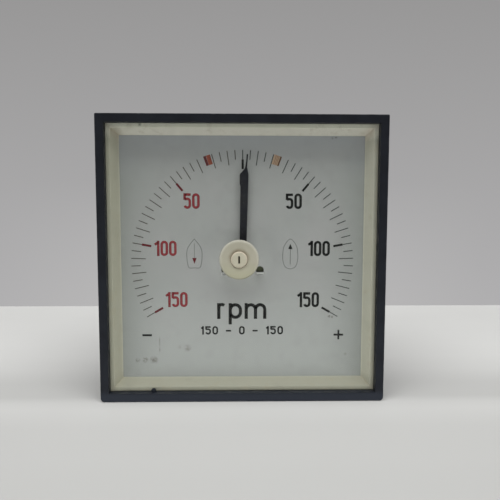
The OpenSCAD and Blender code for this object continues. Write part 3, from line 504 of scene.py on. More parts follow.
# Marks on the dial: place (x, z), radius, strength and colour
DIAL_STAINS = (
    (-55.6, -54.3, 1.5, 0.6, (92, 86, 77)),
    (-51.5, -54.2, 1.9, 0.65, (92, 86, 77)),
    (-47.0, -54.1, 2.5, 0.7, (95, 90, 81)),
    (-29.2, -47.8, 2.4, 0.6, (111, 106, 97)),
    (-33.5, -47.3, 1.6, 0.3, (123, 118, 107)),
    (45.9, -31.0, 0.9, 0.9, (67, 62, 55)),
    (47.6, -31.3, 0.8, 0.8, (74, 69, 58)),
    (54.8, -51.4, 1.0, 0.5, (97, 88, 74)),
    (46.6, 62.3, 0.9, 0.9, (51, 48, 42)),
    (48.2, 62.4, 0.8, 0.8, (62, 58, 51)),
)
# Middle of the upright scratch on the dial
SCRATCH_X = -43.9
SCRATCH_Z = -46.0


def dial_finish():
    """Pale grey enamel with faint clouds, with stains, specks and a scratch. Painted light makes the lower
    half, a disc round the hub and the bent lugs paler, and painted shade darkens it towards the mask.
    """
    finish = Finish("dial_enamel", (156, 157, 155), 0.62, shine=0.25)
    x, y, z = finish.axes()
    finish.coat(finish.patches(22, 3), (161, 160, 159))
    # painted light: the lower half of the dial is painted paler
    finish.coat(finish.between(z, -5, -50), (167, 168, 166))
    # painted shade: the dial is painted darker towards the mask on each side, in patches, and bluer at the
    # top
    to_side = finish.between(finish.unsigned(x), 38, 62)
    to_top = finish.between(z, 38, 62)
    to_foot = finish.between(z, -55, -62, 0.0, 0.8)
    painted_margin_shade = finish.power(finish.larger(finish.larger(to_side, to_top), to_foot), 1.6)
    patchy = finish.patches(7, 3, 0.3, 0.7, 0.85, 1.0, shift=2.2)
    painted_shade_grey = finish.blend(to_top, (149, 151, 148), (161, 163, 166))
    finish.coat(finish.times(painted_margin_shade, patchy), painted_shade_grey)
    # painted light: a paler disc is painted round the hub, against the shade of the cap in front of it
    painted_light_round_hub = finish.between(finish.away_from((HUB_X, DIAL_FACE, HUB_Z)), 19, 10.5)
    finish.coat(finish.power(painted_light_round_hub, 1.3), (181, 181, 179))
    finish.coat(finish.patches(0.7, 2, 0.7, 0.78, 0.0, 0.25, shift=0.4), (106, 104, 97))
    for stain_x, stain_z, radius, strength, colour in DIAL_STAINS:
        away = finish.away_from((stain_x, DIAL_FACE, stain_z))
        stain = finish.between(away, radius, 0.3 * radius, 0.0, strength)
        ragged = finish.patches(1.1, 3, 0.35, 0.6, shift=stain_x)
        finish.coat(finish.times(stain, ragged), colour)
    beside = finish.unsigned(finish.less(x, SCRATCH_X * MM))
    along = finish.unsigned(finish.less(z, SCRATCH_Z * MM))
    scratch = finish.times(finish.between(beside, 0.5, 0.1), finish.between(along, 4.6, 3.6, 0.0, 0.5))
    broken = finish.patches(1.4, 3, 0.35, 0.6, 0.2, 1.0, shift=5.2)
    finish.coat(finish.times(scratch, broken), (99, 93, 84))
    # painted highlight: the lugs bent forward from the dial are painted near white
    lug_painted_highlight = finish.between(y, DIAL_FACE - 0.1, DIAL_FACE - 0.4)
    lug_painted_highlight = finish.times(lug_painted_highlight, finish.between(y, DIAL_FACE - 2.0, DIAL_FACE - 1.0))
    finish.coat(lug_painted_highlight, (230, 230, 227))
    finish.rough(finish.grain(5), 0.55, 0.68)
    finish.raised(finish.grain(0.25), 0.008)


def cap_finish():
    """Ivory moulded plastic, duller on the cap, with painted highlights on the button's bevel and the cap's
    rim, painted shade on the cap's lower half and deep in the slot, and grime with painted shade round the
    button, heaviest above it.
    """
    finish = Finish("cap_cream", (160, 156, 138), 0.42, shine=0.35)
    _, y, z = finish.axes()
    away = finish.away_from((HUB_X, GLASS_FRONT - 2, HUB_Z))
    cloud = finish.patches(5, 3)
    finish.coat(cloud, (169, 165, 148))
    # painted highlight: a paler ring on the button's bevel
    finish.coat(finish.between(away, BUTTON_R - 0.7, BUTTON_R - 0.2, 0.0, 0.8), (190, 179, 160))
    cap = finish.blend(cloud, (149, 147, 131), (154, 151, 136))
    # painted highlight on the cap's rim, and painted shade on its lower half
    cap = finish.blend(finish.between(away, CAP_R - 1.4, CAP_R, 0.0, 0.7), cap, (174, 173, 162))
    cap = finish.blend(finish.between(z, HUB_Z - 1, HUB_Z - 8, 0.0, 0.8), cap, (145, 144, 122))
    outside = finish.between(away, BUTTON_R + 0.02, BUTTON_R + 0.1)
    finish.coat(outside, cap)
    # grime round the button with painted shade from the recess' upper wall, heaviest above the button
    from_ring = finish.unsigned(finish.less(away, (BUTTON_R + 0.5) * MM))
    grime_and_painted_shade = finish.times(finish.between(from_ring, 1.3, 0.2, 0.0, 0.6), outside)
    grime_and_painted_shade = finish.times(grime_and_painted_shade, finish.patches(1.8, 3, 0.3, 0.65, 0.5, 1.0, shift=0.9))
    grime_and_painted_shade = finish.times(grime_and_painted_shade, finish.between(z, HUB_Z - 2, HUB_Z + 3, 0.15, 1.0))
    finish.coat(grime_and_painted_shade, (112, 96, 74))
    # painted shade: deep in the slot is painted dark
    slot_painted_shade = finish.between(y, BUTTON_FRONT + 0.2, BUTTON_FRONT + 0.55)
    finish.coat(finish.times(slot_painted_shade, finish.between(away, 2.7, 2.3)), (46, 42, 32))
    finish.rough(finish.grain(2), 0.36, 0.5)
    finish.raised(finish.grain(0.5), 0.01)


def pointer_finish():
    """Matt black paint."""
    finish = Finish("pointer_black", (29, 30, 34), 0.6, shine=0.2)
    finish.coat(finish.patches(3, 3), (39, 40, 45))
    finish.rough(finish.grain(1), 0.5, 0.68)
    finish.raised(finish.grain(0.2), 0.008)


def ink_finish(name, colour, pale):
    """Printing ink, a little thin in places."""
    finish = Finish(f"ink_{name}", colour, 0.55, shine=0.2)
    finish.coat(finish.patches(0.5, 3, 0.45, 0.75, 0.0, 0.35), pale)
    finish.rough(finish.grain(0.4), 0.5, 0.65)
    finish.raised(finish.grain(0.15), 0.004)


def enamel_finish():
    """Dark stoved enamel with orange peel and scratches, rubbed at the case's edges and dusty on top."""
    finish = Finish("case_enamel", (56, 58, 60), 0.4)
    x, y, z = finish.axes()
    across, up = finish.unsigned(x), finish.unsigned(z)
    finish.coat(finish.patches(16, 3), (68, 70, 72))
    finish.coat(finish.patches(1.2, 4, 0.66, 0.74, 0.0, 0.4, stretch=(1, 14, 1)), (110, 112, 113))
    long_edge = finish.between(finish.maths("MINIMUM", across, up), CASE_HALF - 1.5, CASE_HALF - 0.2)
    back_edge = finish.between(finish.larger(across, up), CASE_HALF - 1, CASE_HALF - 0.3)
    back_edge = finish.times(back_edge, finish.between(y, CASE_BACK - 1, CASE_BACK - 0.3))
    rubbed = finish.patches(7, 5, 0.48, 0.66, 0.0, 0.55, shift=4.4)
    finish.coat(finish.times(finish.larger(long_edge, back_edge), rubbed), (118, 118, 116))
    top = finish.between(z, CASE_HALF - 0.5, CASE_HALF - 0.1, 0.0, 0.3)
    dust = finish.patches(3, 5, 0.25, 0.85, 0.3, 1.0, shift=6.3)
    finish.coat(finish.times(top, dust), (104, 103, 100))
    finish.rough(finish.grain(3, 3), 0.34, 0.5)
    finish.raised(finish.grain(0.9), 0.02, 0.6)


def metal_finish(name, dark, light, roughness, lines=(1, 1, 1), size=0.4):
    """Machined metal, its fine marks drawn out along one axis."""
    finish = Finish(name, dark, roughness, metallic=1.0)
    marks = finish.patches(size, 3, stretch=lines)
    finish.coat(marks, light)
    finish.coat(finish.patches(3, 3, 0.4, 0.7, 0.0, 0.5, shift=2.3), dark)
    finish.rough(marks, roughness - 0.08, roughness + 0.1)
    finish.raised(marks, 0.01, 0.4)


def plastic_finish(name, dark, light, roughness, size=4.0, depth=0.012):
    """Moulded plastic, card, or the olive sheet behind the lug holes, with a soft mottle."""
    finish = Finish(name, dark, roughness)
    cloud = finish.patches(size, 3)
    finish.coat(cloud, light)
    finish.rough(cloud, roughness - 0.06, roughness + 0.08)
    finish.raised(finish.grain(size / 8), depth)


def glass_finish():
    """Clear low-glare window glass with a film of dust."""
    finish = Finish("window_glass", (255, 255, 255), 0.03)
    finish.tree.nodes.remove(finish.shader)
    clear = finish.add("ShaderNodeBsdfTransparent")
    clear.inputs["Color"].default_value = (0.97, 0.98, 0.975, 1)
    gloss = finish.add("ShaderNodeBsdfGlossy")
    gloss.inputs["Roughness"].default_value = 0.06
    turned = finish.add("ShaderNodeLayerWeight")
    turned.inputs["Blend"].default_value = 0.5
    edge = finish.power(turned.outputs["Facing"], 3.0)
    pane = finish.mixed(finish.steps(edge, 0.0, 1.0, 0.008, 1.0), clear.outputs[0], gloss.outputs[0])
    dust = finish.add("ShaderNodeBsdfDiffuse")
    dust.inputs["Color"].default_value = paint(150, 146, 136)
    finish.shown(finish.mixed(finish.patches(6, 4, 0.5, 0.8, 0.0, 0.03), pane, dust.outputs[0]))


def table_finish():
    """Pale matt table top, its grey set by the distance behind the bezel's seat, with painted light and
    shade in it.
    """
    finish = Finish("table_top", (200, 200, 198), 0.7, shine=0.1)
    start, end = TABLE_PAINTED_LIGHT_AND_SHADE_GREYS[0][0], TABLE_PAINTED_LIGHT_AND_SHADE_GREYS[-1][0]
    ramp = finish.add("ShaderNodeValToRGB")
    finish.join(finish.between(finish.axes()["Y"], start, end), ramp.inputs["Fac"])
    stops = ramp.color_ramp.elements
    while len(stops) < len(TABLE_PAINTED_LIGHT_AND_SHADE_GREYS):
        stops.new(0.5)
    for stop, (behind, grey) in zip(stops, TABLE_PAINTED_LIGHT_AND_SHADE_GREYS):
        stop.position = (behind - start) / (end - start)
        stop.color = paint(grey, grey, grey - 2)
    finish.colour = ramp.outputs["Color"]
    finish.coat(finish.patches(40, 2, 0.3, 0.7, 0.0, 0.03), (170, 170, 168))


def backdrop_finish():
    """A pale wall that glows with painted light where the camera sees it, in gloss and through glass: a soft
    grey, lightest near the table. Other light meets it as plain matt paint.
    """
    finish = Finish("backdrop", (190, 189, 188), 0.8, shine=0.0)
    x, _, z = finish.axes()
    glow = finish.blend(finish.between(z, -235, 570), (176, 175, 176), (152, 151, 151))
    aside = finish.between(finish.unsigned(x), 330, 680)
    beside = finish.times(finish.between(z, 100, -235), finish.less(1.0, aside))
    # painted light: the wall glows with this grey for the camera, gloss and glass
    seen = finish.add("ShaderNodeEmission")
    finish.join(finish.blend(beside, glow, (183, 182, 182)), seen.inputs["Color"])
    finish.shown(finish.mixed(finish.seen_rays(), finish.shader.outputs[0], seen.outputs[0]))


def make_finishes():
    bezel_finish()
    mask_finish()
    dial_finish()
    cap_finish()
    pointer_finish()
    enamel_finish()
    glass_finish()
    table_finish()
    backdrop_finish()
    metal_finish("screw_steel", (150, 150, 152), (190, 190, 191), 0.36)
    metal_finish("plate_aluminium", (168, 169, 171), (198, 199, 200), 0.4, lines=(30, 1, 1))
    metal_finish("turned_brass", (158, 120, 60), (206, 172, 104), 0.34)
    metal_finish("spring_bronze", (150, 104, 62), (196, 148, 98), 0.3)
    metal_finish("coil_wire", (120, 52, 24), (184, 92, 44), 0.35, lines=(1, 20, 20), size=0.12)
    metal_finish("soft_iron", (88, 88, 90), (120, 120, 121), 0.5)
    metal_finish("magnet_steel", (112, 112, 114), (146, 146, 147), 0.42, lines=(1, 1, 20))
    plastic_finish("black_rubber", (26, 26, 27), (36, 36, 37), 0.7, size=2)
    plastic_finish("ruby", (120, 8, 28), (176, 22, 48), 0.12, size=0.5, depth=0.001)
    plastic_finish("black_moulding", (28, 25, 23), (40, 37, 35), 0.34, size=3)
    plastic_finish("resistor_card", (110, 66, 34), (146, 92, 52), 0.5, size=1.5)
    plastic_finish("resistor_body", (118, 64, 40), (150, 88, 56), 0.3, size=2)
    plastic_finish("lead_green", (40, 84, 44), (58, 108, 60), 0.45, size=2)
    # the olive sheet that stands in for the shade in the lug holes
    plastic_finish("hole_shade_sheet", (86, 90, 69), (102, 106, 83), 0.5, size=1.2)
    ink_finish("black", (28, 29, 28), (62, 63, 62))
    ink_finish("red", (132, 50, 55), (160, 93, 96))
    ink_finish("maroon", (93, 30, 36), (117, 62, 64))
    ink_finish("grey", (66, 68, 68), (100, 101, 100))
    ink_finish("faded", (82, 78, 75), (114, 110, 107))
    ink_finish("outline", (93, 94, 94), (119, 120, 119))
    ink_finish("patch_maroon", (103, 52, 53), (130, 87, 87))
    ink_finish("patch_red", (150, 78, 62), (169, 116, 100))
    ink_finish("patch_orange", (169, 144, 121), (166, 151, 137))
    ink_finish("patch_brown", (134, 105, 85), (150, 126, 109))
    ink_finish("patch_bar", (93, 66, 50), (117, 91, 75))


def dress(piece, finish):
    piece.data.materials.clear()
    piece.data.materials.append(FINISHES[finish])


def dress_frame():
    """Gives each piece of the frame the finish of its own material slot."""
    for subpart in frame["record"]["subparts"]:
        dress(frame["nodes"][subpart["node"]], subpart["material_slot"])


def finished(piece, slot, body="housing", stands_for=(), finish=None):
    """Gives a new piece its slot's finish, or another that is named, its body and what it replaces."""
    dress(piece, finish or slot)
    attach(piece, body)
    if stands_for:
        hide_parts(*stands_for)


def printed(name, parts, ink):
    """Makes printing on the dial one piece, and gives it its ink."""
    finished(joined(name, parts), "dial_enamel", finish=f"ink_{ink}")


def make_bezel():
    """The square bezel, its corners rounder at the foot, with a countersunk hole for each side screw."""
    opening = HALF - BEZEL_BAR
    cavity = PANE_HALF + 1.2
    outline = [
        (HALF, 0), (HALF, FACE), (opening, FACE), (opening, GLASS_FRONT), (cavity, GLASS_FRONT), (cavity, 0),
    ]
    piece = swept_outline("bezel_moulding", outline, sides=4, closed=True)
    top_corner_r = 0.6
    foot_corner_r = 1.9
    for up, radius in ((1, top_corner_r), (-1, foot_corner_r)):
        round_edges(piece, radius, 6, lambda a, b: (
            abs(a.y - b.y) > 5 * MM and abs(a.x - b.x) < MM and min(abs(a.x), a.z * up) > (HALF - 0.5) * MM
        ))
    hole_r = 1.1
    sink_r = 2.05
    sink_deep = 3
    screw_y = -2.35
    screw_z = 40
    for side in (-1, 1):
        for height in (-screw_z, screw_z):
            clear_selection()
            bpy.ops.mesh.primitive_cone_add(
                vertices=48, radius1=hole_r * MM, radius2=sink_r * MM, depth=sink_deep * MM,
                location=((HALF - 1.4) * side * MM, screw_y * MM, height * MM),
                rotation=(0, math.radians(90) * side, 0),
            )
            cut(piece, bpy.context.object)
    soften(piece, 0.45)
    finished(piece, "bezel_black", stands_for=["bezel"])


def make_mask():
    """The cream frame that slopes in from just behind the glass to the dial."""
    front = GLASS_BACK + 0.06
    outer = 68.4
    window = 63.2
    skirt = 66.4
    skirt_deep = 0.9
    seat = -1.0
    rim_deep = 0.7
    outline = [
        (outer, front), (66.2, front), (window, DIAL_FACE), (skirt, DIAL_FACE),
        (skirt, DIAL_FACE - skirt_deep), (64.5, DIAL_FACE - skirt_deep), (66.6, seat), (PANE_HALF, seat),
        (PANE_HALF, seat - rim_deep), (outer, seat - rim_deep),
    ]
    piece = swept_outline("mask_surround", outline, sides=4, closed=True)
    soften(piece, 0.18, angle=30)
    finished(piece, "mask_cream", stands_for=["mask_frame"])


def make_hub_cap():
    """The dished cap through the glass, with a recess in which the button turns."""
    bore = 2.66
    floor = GLASS_FRONT - 0.7
    recess = BUTTON_R + 0.07
    dish = recess + 0.8
    skirt = 7.9
    skirt_wall = 0.8
    skirt_end = GLASS_BACK + 0.4
    rim_r = 0.9
    outline = [(bore, floor), (recess, floor), (recess, floor - 0.7)]
    for step in range(9):
        share = step / 8
        rise = 0.45 * share + 0.2 * math.sin(math.radians(90 * share))
        outline.append((dish + (CAP_R - 1.1 - dish) * share, floor - 1.05 - rise))
    outline += arc((CAP_R - rim_r, CAP_FRONT + rim_r), rim_r, -80, 0, 8)
    outline += [(CAP_R, GLASS_FRONT), (skirt, GLASS_FRONT), (skirt, skirt_end)]
    outline += [(skirt - skirt_wall, skirt_end), (skirt - skirt_wall, GLASS_FRONT), (bore, GLASS_FRONT)]
    piece = swept_outline("hub_cover", outline, sides=128, centre=(HUB_X, HUB_Z), closed=True)
    soften(piece, 0.12, segments=2, angle=35)
    finished(piece, "cap_cream", stands_for=["hub_cap"])


def make_button():
    """The slotted zero button, bevelled at the front, with its shank."""
    shank_r = 2.6
    back = button_high.y / MM
    floor = GLASS_FRONT - 0.75
    outline = [(shank_r, back), (shank_r, floor), (BUTTON_R, floor), (BUTTON_R, BUTTON_FRONT + 0.8)]
    outline += [(BUTTON_R - 0.15, BUTTON_FRONT + 0.35), (BUTTON_R - 0.6, BUTTON_FRONT)]
    piece = swept_outline("zero_knob", outline, sides=96, centre=(HUB_X, HUB_Z))
    slot = (0.9, 2.2, 3.7)
    cut(piece, bar("slot_cutter", slot, (HUB_X, BUTTON_FRONT, HUB_Z)))
    soften(piece, 0.1, segments=2, angle=30)
    finished(piece, "cap_cream", body="adjuster", stands_for=["zero_button"])


# Radii of the scale on the dial, the degrees of one division, and the marks' widths
SCALE_OUTER = 58.1
SCALE_LONG = 50.6
SCALE_SHORT = 53.2
SCALE_BOLD = 48.3
DIVISION = 4.0
LINE_W = 0.48
BOLD_W = 1.12


def mark(inner, outer, width, angle, rise=0.0):
    """A radial mark on the dial between two radii."""
    thick = INK_THICK + rise
    place = (0, DIAL_FACE - thick / 2, AXIS_Z + (inner + outer) / 2)
    piece = bar("mark", (width, thick, outer - inner), place)
    turn_on_spindle(piece, angle)
    return piece


def make_scale():
    """Sixty divisions, every second mark longer, with a bold root at each tenth; the left half is redder."""
    sides = {"black": [], "maroon": [], "grey": [], "faded": []}
    for k in range(-30, 31):
        inner = SCALE_LONG if k % 2 == 0 else SCALE_SHORT
        angle = k * DIVISION
        if k % 10 == 0:
            sides["black" if k >= 0 else "maroon"].append(mark(SCALE_BOLD, SCALE_SHORT, BOLD_W, angle, 0.01))
            inner = SCALE_SHORT
        sides["grey" if k >= 0 else "faded"].append(mark(inner, SCALE_OUTER, LINE_W, angle))
    for ink, parts in sides.items():
        printed(f"scale_{ink}", parts, ink)


def flat_curve(name, points, dimensions):
    """A curve with one straight-sided line through points of (x, y)."""
    curve = bpy.data.curves.new(name, "CURVE")
    curve.dimensions = dimensions
    line = curve.splines.new("POLY")
    line.points.add(len(points) - 1)
    for point, (x, y) in zip(line.points, points):
        point.co = (x * MM, y * MM, 0, 1)
    return curve


def stroke(points, width):
    """A printed line of even width along points of (x, z) on the dial."""
    reach = width / 2
    nib = flat_curve("nib", ((-reach, 0), (reach, 0), (reach, INK_THICK), (-reach, INK_THICK)), "2D")
    nib.splines[0].use_cyclic_u = True
    nib_piece = new_object("nib", nib)
    curve = flat_curve("stroke", points, "3D")
    curve.bevel_mode = "OBJECT"
    curve.bevel_object = nib_piece
    curve.use_fill_caps = True
    select_only(new_object("stroke", curve))
    bpy.ops.object.convert(target="MESH")
    piece = bpy.context.object
    bpy.data.objects.remove(nib_piece)
    turn(piece, 90, "X")
    shift(piece, 0, DIAL_FACE, 0)
    clean(piece)
    return piece


def character_strokes(character, height, width, line):
    """The strokes of a character in a box from (0, 0), as lists of (x, z)."""
    top = height - line / 2
    left = low = line / 2
    right = width - line / 2
    middle = (left + right) / 2
    round_r = (right - left) / 2
    upper = (middle, top - round_r)
    lower = (middle, low + round_r)
    stem = [(left, 0), (left, height)]
    if character == "0":
        ring = arc(upper, round_r, 180, 0, 14) + arc(lower, round_r, 0, -180, 14)
        return [ring + ring[:2]]
    if character == "1":
        flag = [(right, top - 0.1 * line), (right - 0.22 * height, top - 0.18 * height)]
        return [[(right, 0), (right, height)], flag]
    if character == "5":
        bowl_top = low + 0.56 * height
        bowl = [(left, bowl_top - 0.02 * height)]
        bowl += arc((middle, bowl_top - round_r), round_r, 110, 0, 9) + arc(lower, round_r, 0, -165, 12)
        return [[(left, height), (left, bowl_top - 0.06 * height)], [(left, top), (width * 0.94, top)], bowl]
    if character == "r":
        return [stem, arc((left + round_r * 1.1, top - round_r), round_r * 1.1, 180, 42, 10)]
    if character == "m":
        reach = (right - left) / 4
        first = arc((left + reach, top - reach), reach, 180, 0, 8) + [(left + 2 * reach, 0)]
        second = arc((left + 3 * reach, top - reach), reach, 180, 0, 8) + [(right, 0)]
        return [stem, first, second]
    if character == "p":
        bowl = arc(upper, round_r, 180, 0, 10) + arc(lower, round_r, 0, -180, 10)
        return [[(left, -0.35 * height), (left, height)], bowl]
    dash_high = height * 0.45
    return [[(0, dash_high), (width, dash_high)]]


# Widths of characters, as shares of a zero's
WIDTH_SHARES = {"1": 0.58, "m": 1.62, "r": 0.66, "-": 0.9}


def lettered(name, text, corner, height, width, gap, line, ink, space=0.5):
    """Characters in a row, the lower left corner of the first at the photograph's pixel."""
    x, z = on_dial(*corner)
    parts = []
    for character in text:
        if character == " ":
            x += width * space
            continue
        wide = width * WIDTH_SHARES.get(character, 1.0)
        for points in character_strokes(character, height, wide, line):
            parts.append(stroke([(x + a, z + b) for a, b in points], line))
        x += wide + gap
    printed(name, parts, ink)


def on_dial(px, py):
    """The place (x, z) on the dial that the photograph shows at a pixel."""
    camera_turn = Euler([math.radians(v) for v in CAMERA_TURN]).to_matrix()
    ray = camera_turn @ Vector((px - PICTURE / 2, PICTURE / 2 - py, -LENS / FILM * PICTURE))
    share = (DIAL_FACE - CAMERA_PLACE[1]) / ray.y
    return CAMERA_PLACE[0] + ray.x * share, CAMERA_PLACE[2] + ray.z * share


def make_lettering():
    """The numerals at their pixels of the photograph, the unit and the range."""
    for name, text, corner, ink in (
        ("numerals_red_50", "50", (183.5, 208.8), "red"),
        ("numerals_red_100", "100", (155.2, 256.0), "red"),
        ("numerals_red_150", "150", (166.4, 307.1), "red"),
        ("numerals_black_50", "50", (285.7, 209.0), "black"),
        ("numerals_black_100", "100", (308.5, 256.1), "black"),
        ("numerals_black_150", "150", (297.8, 307.2), "black"),
        ("numeral_black_0", "0", (239.7, 187.3), "black"),
    ):
        lettered(name, text, corner, 8.0, 3.95, 0.5, 1.3, ink)
    lettered("unit_mark", "rpm", (217.2, 318.9), 8.4, 7.1, 1.35, 1.7, "black")
    lettered("range_mark", "150 - 0 - 150", (200.6, 334.6), 4.5, 3.0, 0.75, 0.85, "black", space=1.15)


def make_signs():
    minus_ends = [on_dial(142.4, 335.2), on_dial(151.9, 335.2)]
    printed("minus_mark", [stroke(minus_ends, 1.05)], "black")
    left, right = on_dial(333.6, 334.6), on_dial(343.1, 334.6)
    middle = (left[0] + right[0]) / 2
    reach = (right[0] - left[0]) / 2
    upright = [(middle, left[1] - reach), (middle, left[1] + reach)]
    printed("plus_mark", [stroke([left, right], 1.0), stroke(upright, 1.0)], "black")


# The ships' outlines from bow to stern: distance from the bow and half width
SHIP_POINTED = (
    (0, 0), (0.7, 0.5), (2.6, 2.05), (5.2, 3.6), (7.8, 4.0), (10.6, 3.9), (12.8, 3.6), (15.2, 2.75),
    (15.25, 0),
)
SHIP_ROUNDED = (
    (0, 0), (0.5, 1.0), (2.4, 2.5), (4.9, 3.6), (9.1, 4.0), (11.4, 3.8), (13.5, 3.25), (15.0, 2.2),
    (15.8, 0),
)


def curve_through(t, p, q, r, s):
    """The value at t from 0 to 1 between q and r on a smooth curve through p, q, r and s."""
    bend = 2 * p - 5 * q + 4 * r - s
    swing = 3 * q - p - 3 * r + s
    return 0.5 * (2 * q + (r - p) * t + bend * t * t + swing * t ** 3)


def smoothed(points, steps=6):
    """A smooth line through the given points."""
    line = []
    for index in range(len(points) - 1):
        near = [points[max(0, min(len(points) - 1, index + k))] for k in (-1, 0, 1, 2)]
        for step in range(steps):
            line.append(tuple(curve_through(step / steps, *values) for values in zip(*near)))
    return line + [points[-1]]


def ship_outline(x, z, profile):
    """A ship seen from above with its bow at (x, z), as points of one closed line."""
    right = [(x + half, z - along) for along, half in smoothed(profile)]
    left = [(2 * x - px, pz) for px, pz in reversed(right)]
    return right + left[1:-1] + right[:2]


def arrow_head(x, z, width, height):
    """A small filled triangle on the dial, its point at the top where the height is positive."""
    clear_selection()
    bpy.ops.mesh.primitive_cone_add(vertices=3, radius1=1 * MM, radius2=1 * MM, depth=INK_THICK * MM)
    piece = bpy.context.object
    apply_place(piece)
    turn(piece, 90, "X")
    points = piece.data.vertices
    low = min(v.co.z for v in points)
    high = max(v.co.z for v in points)
    shift(piece, 0, 0, -(low + high) / 2 / MM)
    wide = max(v.co.x for v in points) - min(v.co.x for v in points)
    piece.data.transform(Matrix.Diagonal((width * MM / wide, 1, height * MM / (high - low), 1)))
    shift(piece, x, DIAL_FACE - INK_THICK / 2, z)
    clean(piece)
    return piece


def make_ships():
    """The two ships and their arrows, by pixels: bow, shaft's ends, and the head's base and point."""
    for name, profile, bow, shaft_ends, head, shaft_w, ink in (
        ("port", SHIP_POINTED, (194.3, 238.8), (243.5, 258.0), (258.0, 263.9), 0.2, "maroon"),
        ("starboard", SHIP_ROUNDED, (290.4, 239.0), (249.1, 264.5), (249.1, 243.7), 0.3, "black"),
    ):
        x, z = on_dial(*bow)
        printed(f"ship_{name}", [stroke(ship_outline(x, z, profile), 0.26)], "outline")
        ends = [(x, on_dial(bow[0], py)[1]) for py in shaft_ends]
        printed(f"arrow_shaft_{name}", [stroke(ends, shaft_w)], "outline")
        base, point = (on_dial(bow[0], py)[1] for py in head)
        printed(f"arrow_head_{name}", [arrow_head(x, (base + point) / 2, 2.25, point - base)], ink)


def make_patches():
    """The coloured patches beside zero, filled with strokes along the marks: division and width of each."""
    for name, ink, rise, strokes in (
        ("patch_red_dark", "patch_maroon", 0.002, ((-5.06, 0.5), (-4.94, 0.6), (-4.84, 0.5))),
        ("patch_red", "patch_red", 0.0, ((-4.66, 0.7), (-4.5, 0.7), (-4.36, 0.7), (-4.27, 0.5))),
        ("patch_orange", "patch_orange", 0.0, (
            (4.14, 0.5), (4.27, 0.55), (4.45, 0.6), (4.62, 0.6), (4.8, 0.7),
        )),
        ("patch_brown", "patch_brown", 0.002, ((4.36, 0.35), (4.56, 0.35), (4.74, 0.35))),
        ("patch_bar", "patch_bar", 0.002, ((5.0, 0.8),)),
    ):
        printed(name, [mark(53.1, 58.2, width, k * DIVISION, rise) for k, width in strokes], ink)


# The pointer's bar and thin end: radius, width, and how far the middle lies to the right
POINTER_STATIONS = (
    (0.0, 3.4, 0.0), (42.5, 4.05, 0.0), (45.6, 4.0, 0.0), (46.8, 2.9, 0.25), (48.2, 1.5, 0.7),
    (49.0, 0.9, 0.72), (52.6, 0.72, 1.08), (55.6, 0.78, 1.2),
)
# The degrees clockwise from upright at which the pointer rests
POINTER_REST = 1.2


def make_pointer():
    """The pointer's bar, drawn upright along its length, with its boss, then turned to where it rests."""
    front = pointer_low.y / MM
    back = pointer_high.y / MM
    middle = (front + back) / 2
    height, wide, aside = 0.2, POINTER_STATIONS[0][1], 0.0
    piece = bar("pointer_bar", (wide, back - front, height), (0, middle, AXIS_Z + height / 2))
    edit(piece)
    mesh = bmesh.from_edit_mesh(piece.data)
    bpy.ops.mesh.select_mode(type="FACE")
    for face in mesh.faces:
        face.select_set(face.normal.z > 0.9)
    bmesh.update_edit_mesh(piece.data)
    for station, next_wide, next_aside in POINTER_STATIONS[1:]:
        move = ((next_aside - aside) * MM, 0, (station - height) * MM)
        bpy.ops.mesh.extrude_region_move(TRANSFORM_OT_translate={"value": move})
        centre = (next_aside * MM, middle * MM, (AXIS_Z + station) * MM)
        bpy.ops.transform.resize(value=(next_wide / wide, 1, 1), center_override=centre)
        height, wide, aside = station, next_wide, next_aside
    leave_editing()
    clean(piece)
    soften(piece, 0.12, segments=2, angle=30)
    bore, boss_r = 1.72, 2.9
    outline = [(bore, front), (boss_r, front), (boss_r, back), (bore, back)]
    boss = swept_outline("pointer_boss", outline, sides=64, centre=(0, AXIS_Z), closed=True)
    soften(boss, 0.08, segments=2, angle=30)
    piece = joined("pointer_blade", [piece, boss])
    turn_on_spindle(piece, POINTER_REST)
    finished(piece, "pointer_black", body="pointer_assembly", stands_for=["pointer"])


def softened_copy(node_name, name, slot, width):
    """A copy of one of the frame's pieces, its points merged and its sharp edges rounded."""
    piece = new_object(name, frame["nodes"][node_name].data.copy())
    clean(piece)
    edit(piece)
    bpy.ops.mesh.select_all(action="SELECT")
    bpy.ops.mesh.dissolve_limited(angle_limit=math.radians(1))
    leave_editing()
    soften(piece, width, segments=2, angle=35)
    finished(piece, slot, stands_for=[node_name])


def make_case():
    """The sheet case: a flange inside the bezel, rounded edges, and two clamp slots in each side."""
    wall = 1.2
    inside = CASE_HALF - wall
    tray = -1.0
    flange_in, flange_out = PANE_HALF + 0.15, PANE_HALF + 1.15
    flange_end = GLASS_FRONT + 0.1
    outline = [
        (inside, CASE_BACK - wall), (inside, tray), (flange_in, tray), (flange_in, flange_end),
        (flange_out, flange_end), (flange_out, 0), (CASE_HALF, 0), (CASE_HALF, CASE_BACK),
    ]
    piece = swept_outline("case_can", outline, sides=4)
    edge_at = (CASE_HALF - 0.1) * MM
    round_edges(piece, 1.6, 6, lambda a, b: (
        abs(a.y - b.y) > 30 * MM and min(abs(a.x), abs(a.z), abs(b.x), abs(b.z)) > edge_at
    ))
    round_edges(piece, 0.9, 4, lambda a, b: min(a.y, b.y) > (CASE_BACK - 0.1) * MM)
    clamp_slot = (6, 5, 12)
    clamp_slot_y = 14.5
    clamp_slot_z = 36
    for side in (-1, 1):
        for height in (-clamp_slot_z, clamp_slot_z):
            cut(piece, bar("slot_cutter", clamp_slot, (side * CASE_HALF, clamp_slot_y, height)))
    soften(piece, 0.15, segments=2)
    finished(piece, "case_enamel", stands_for=["case_shell"])


HEAD_R = 3.0


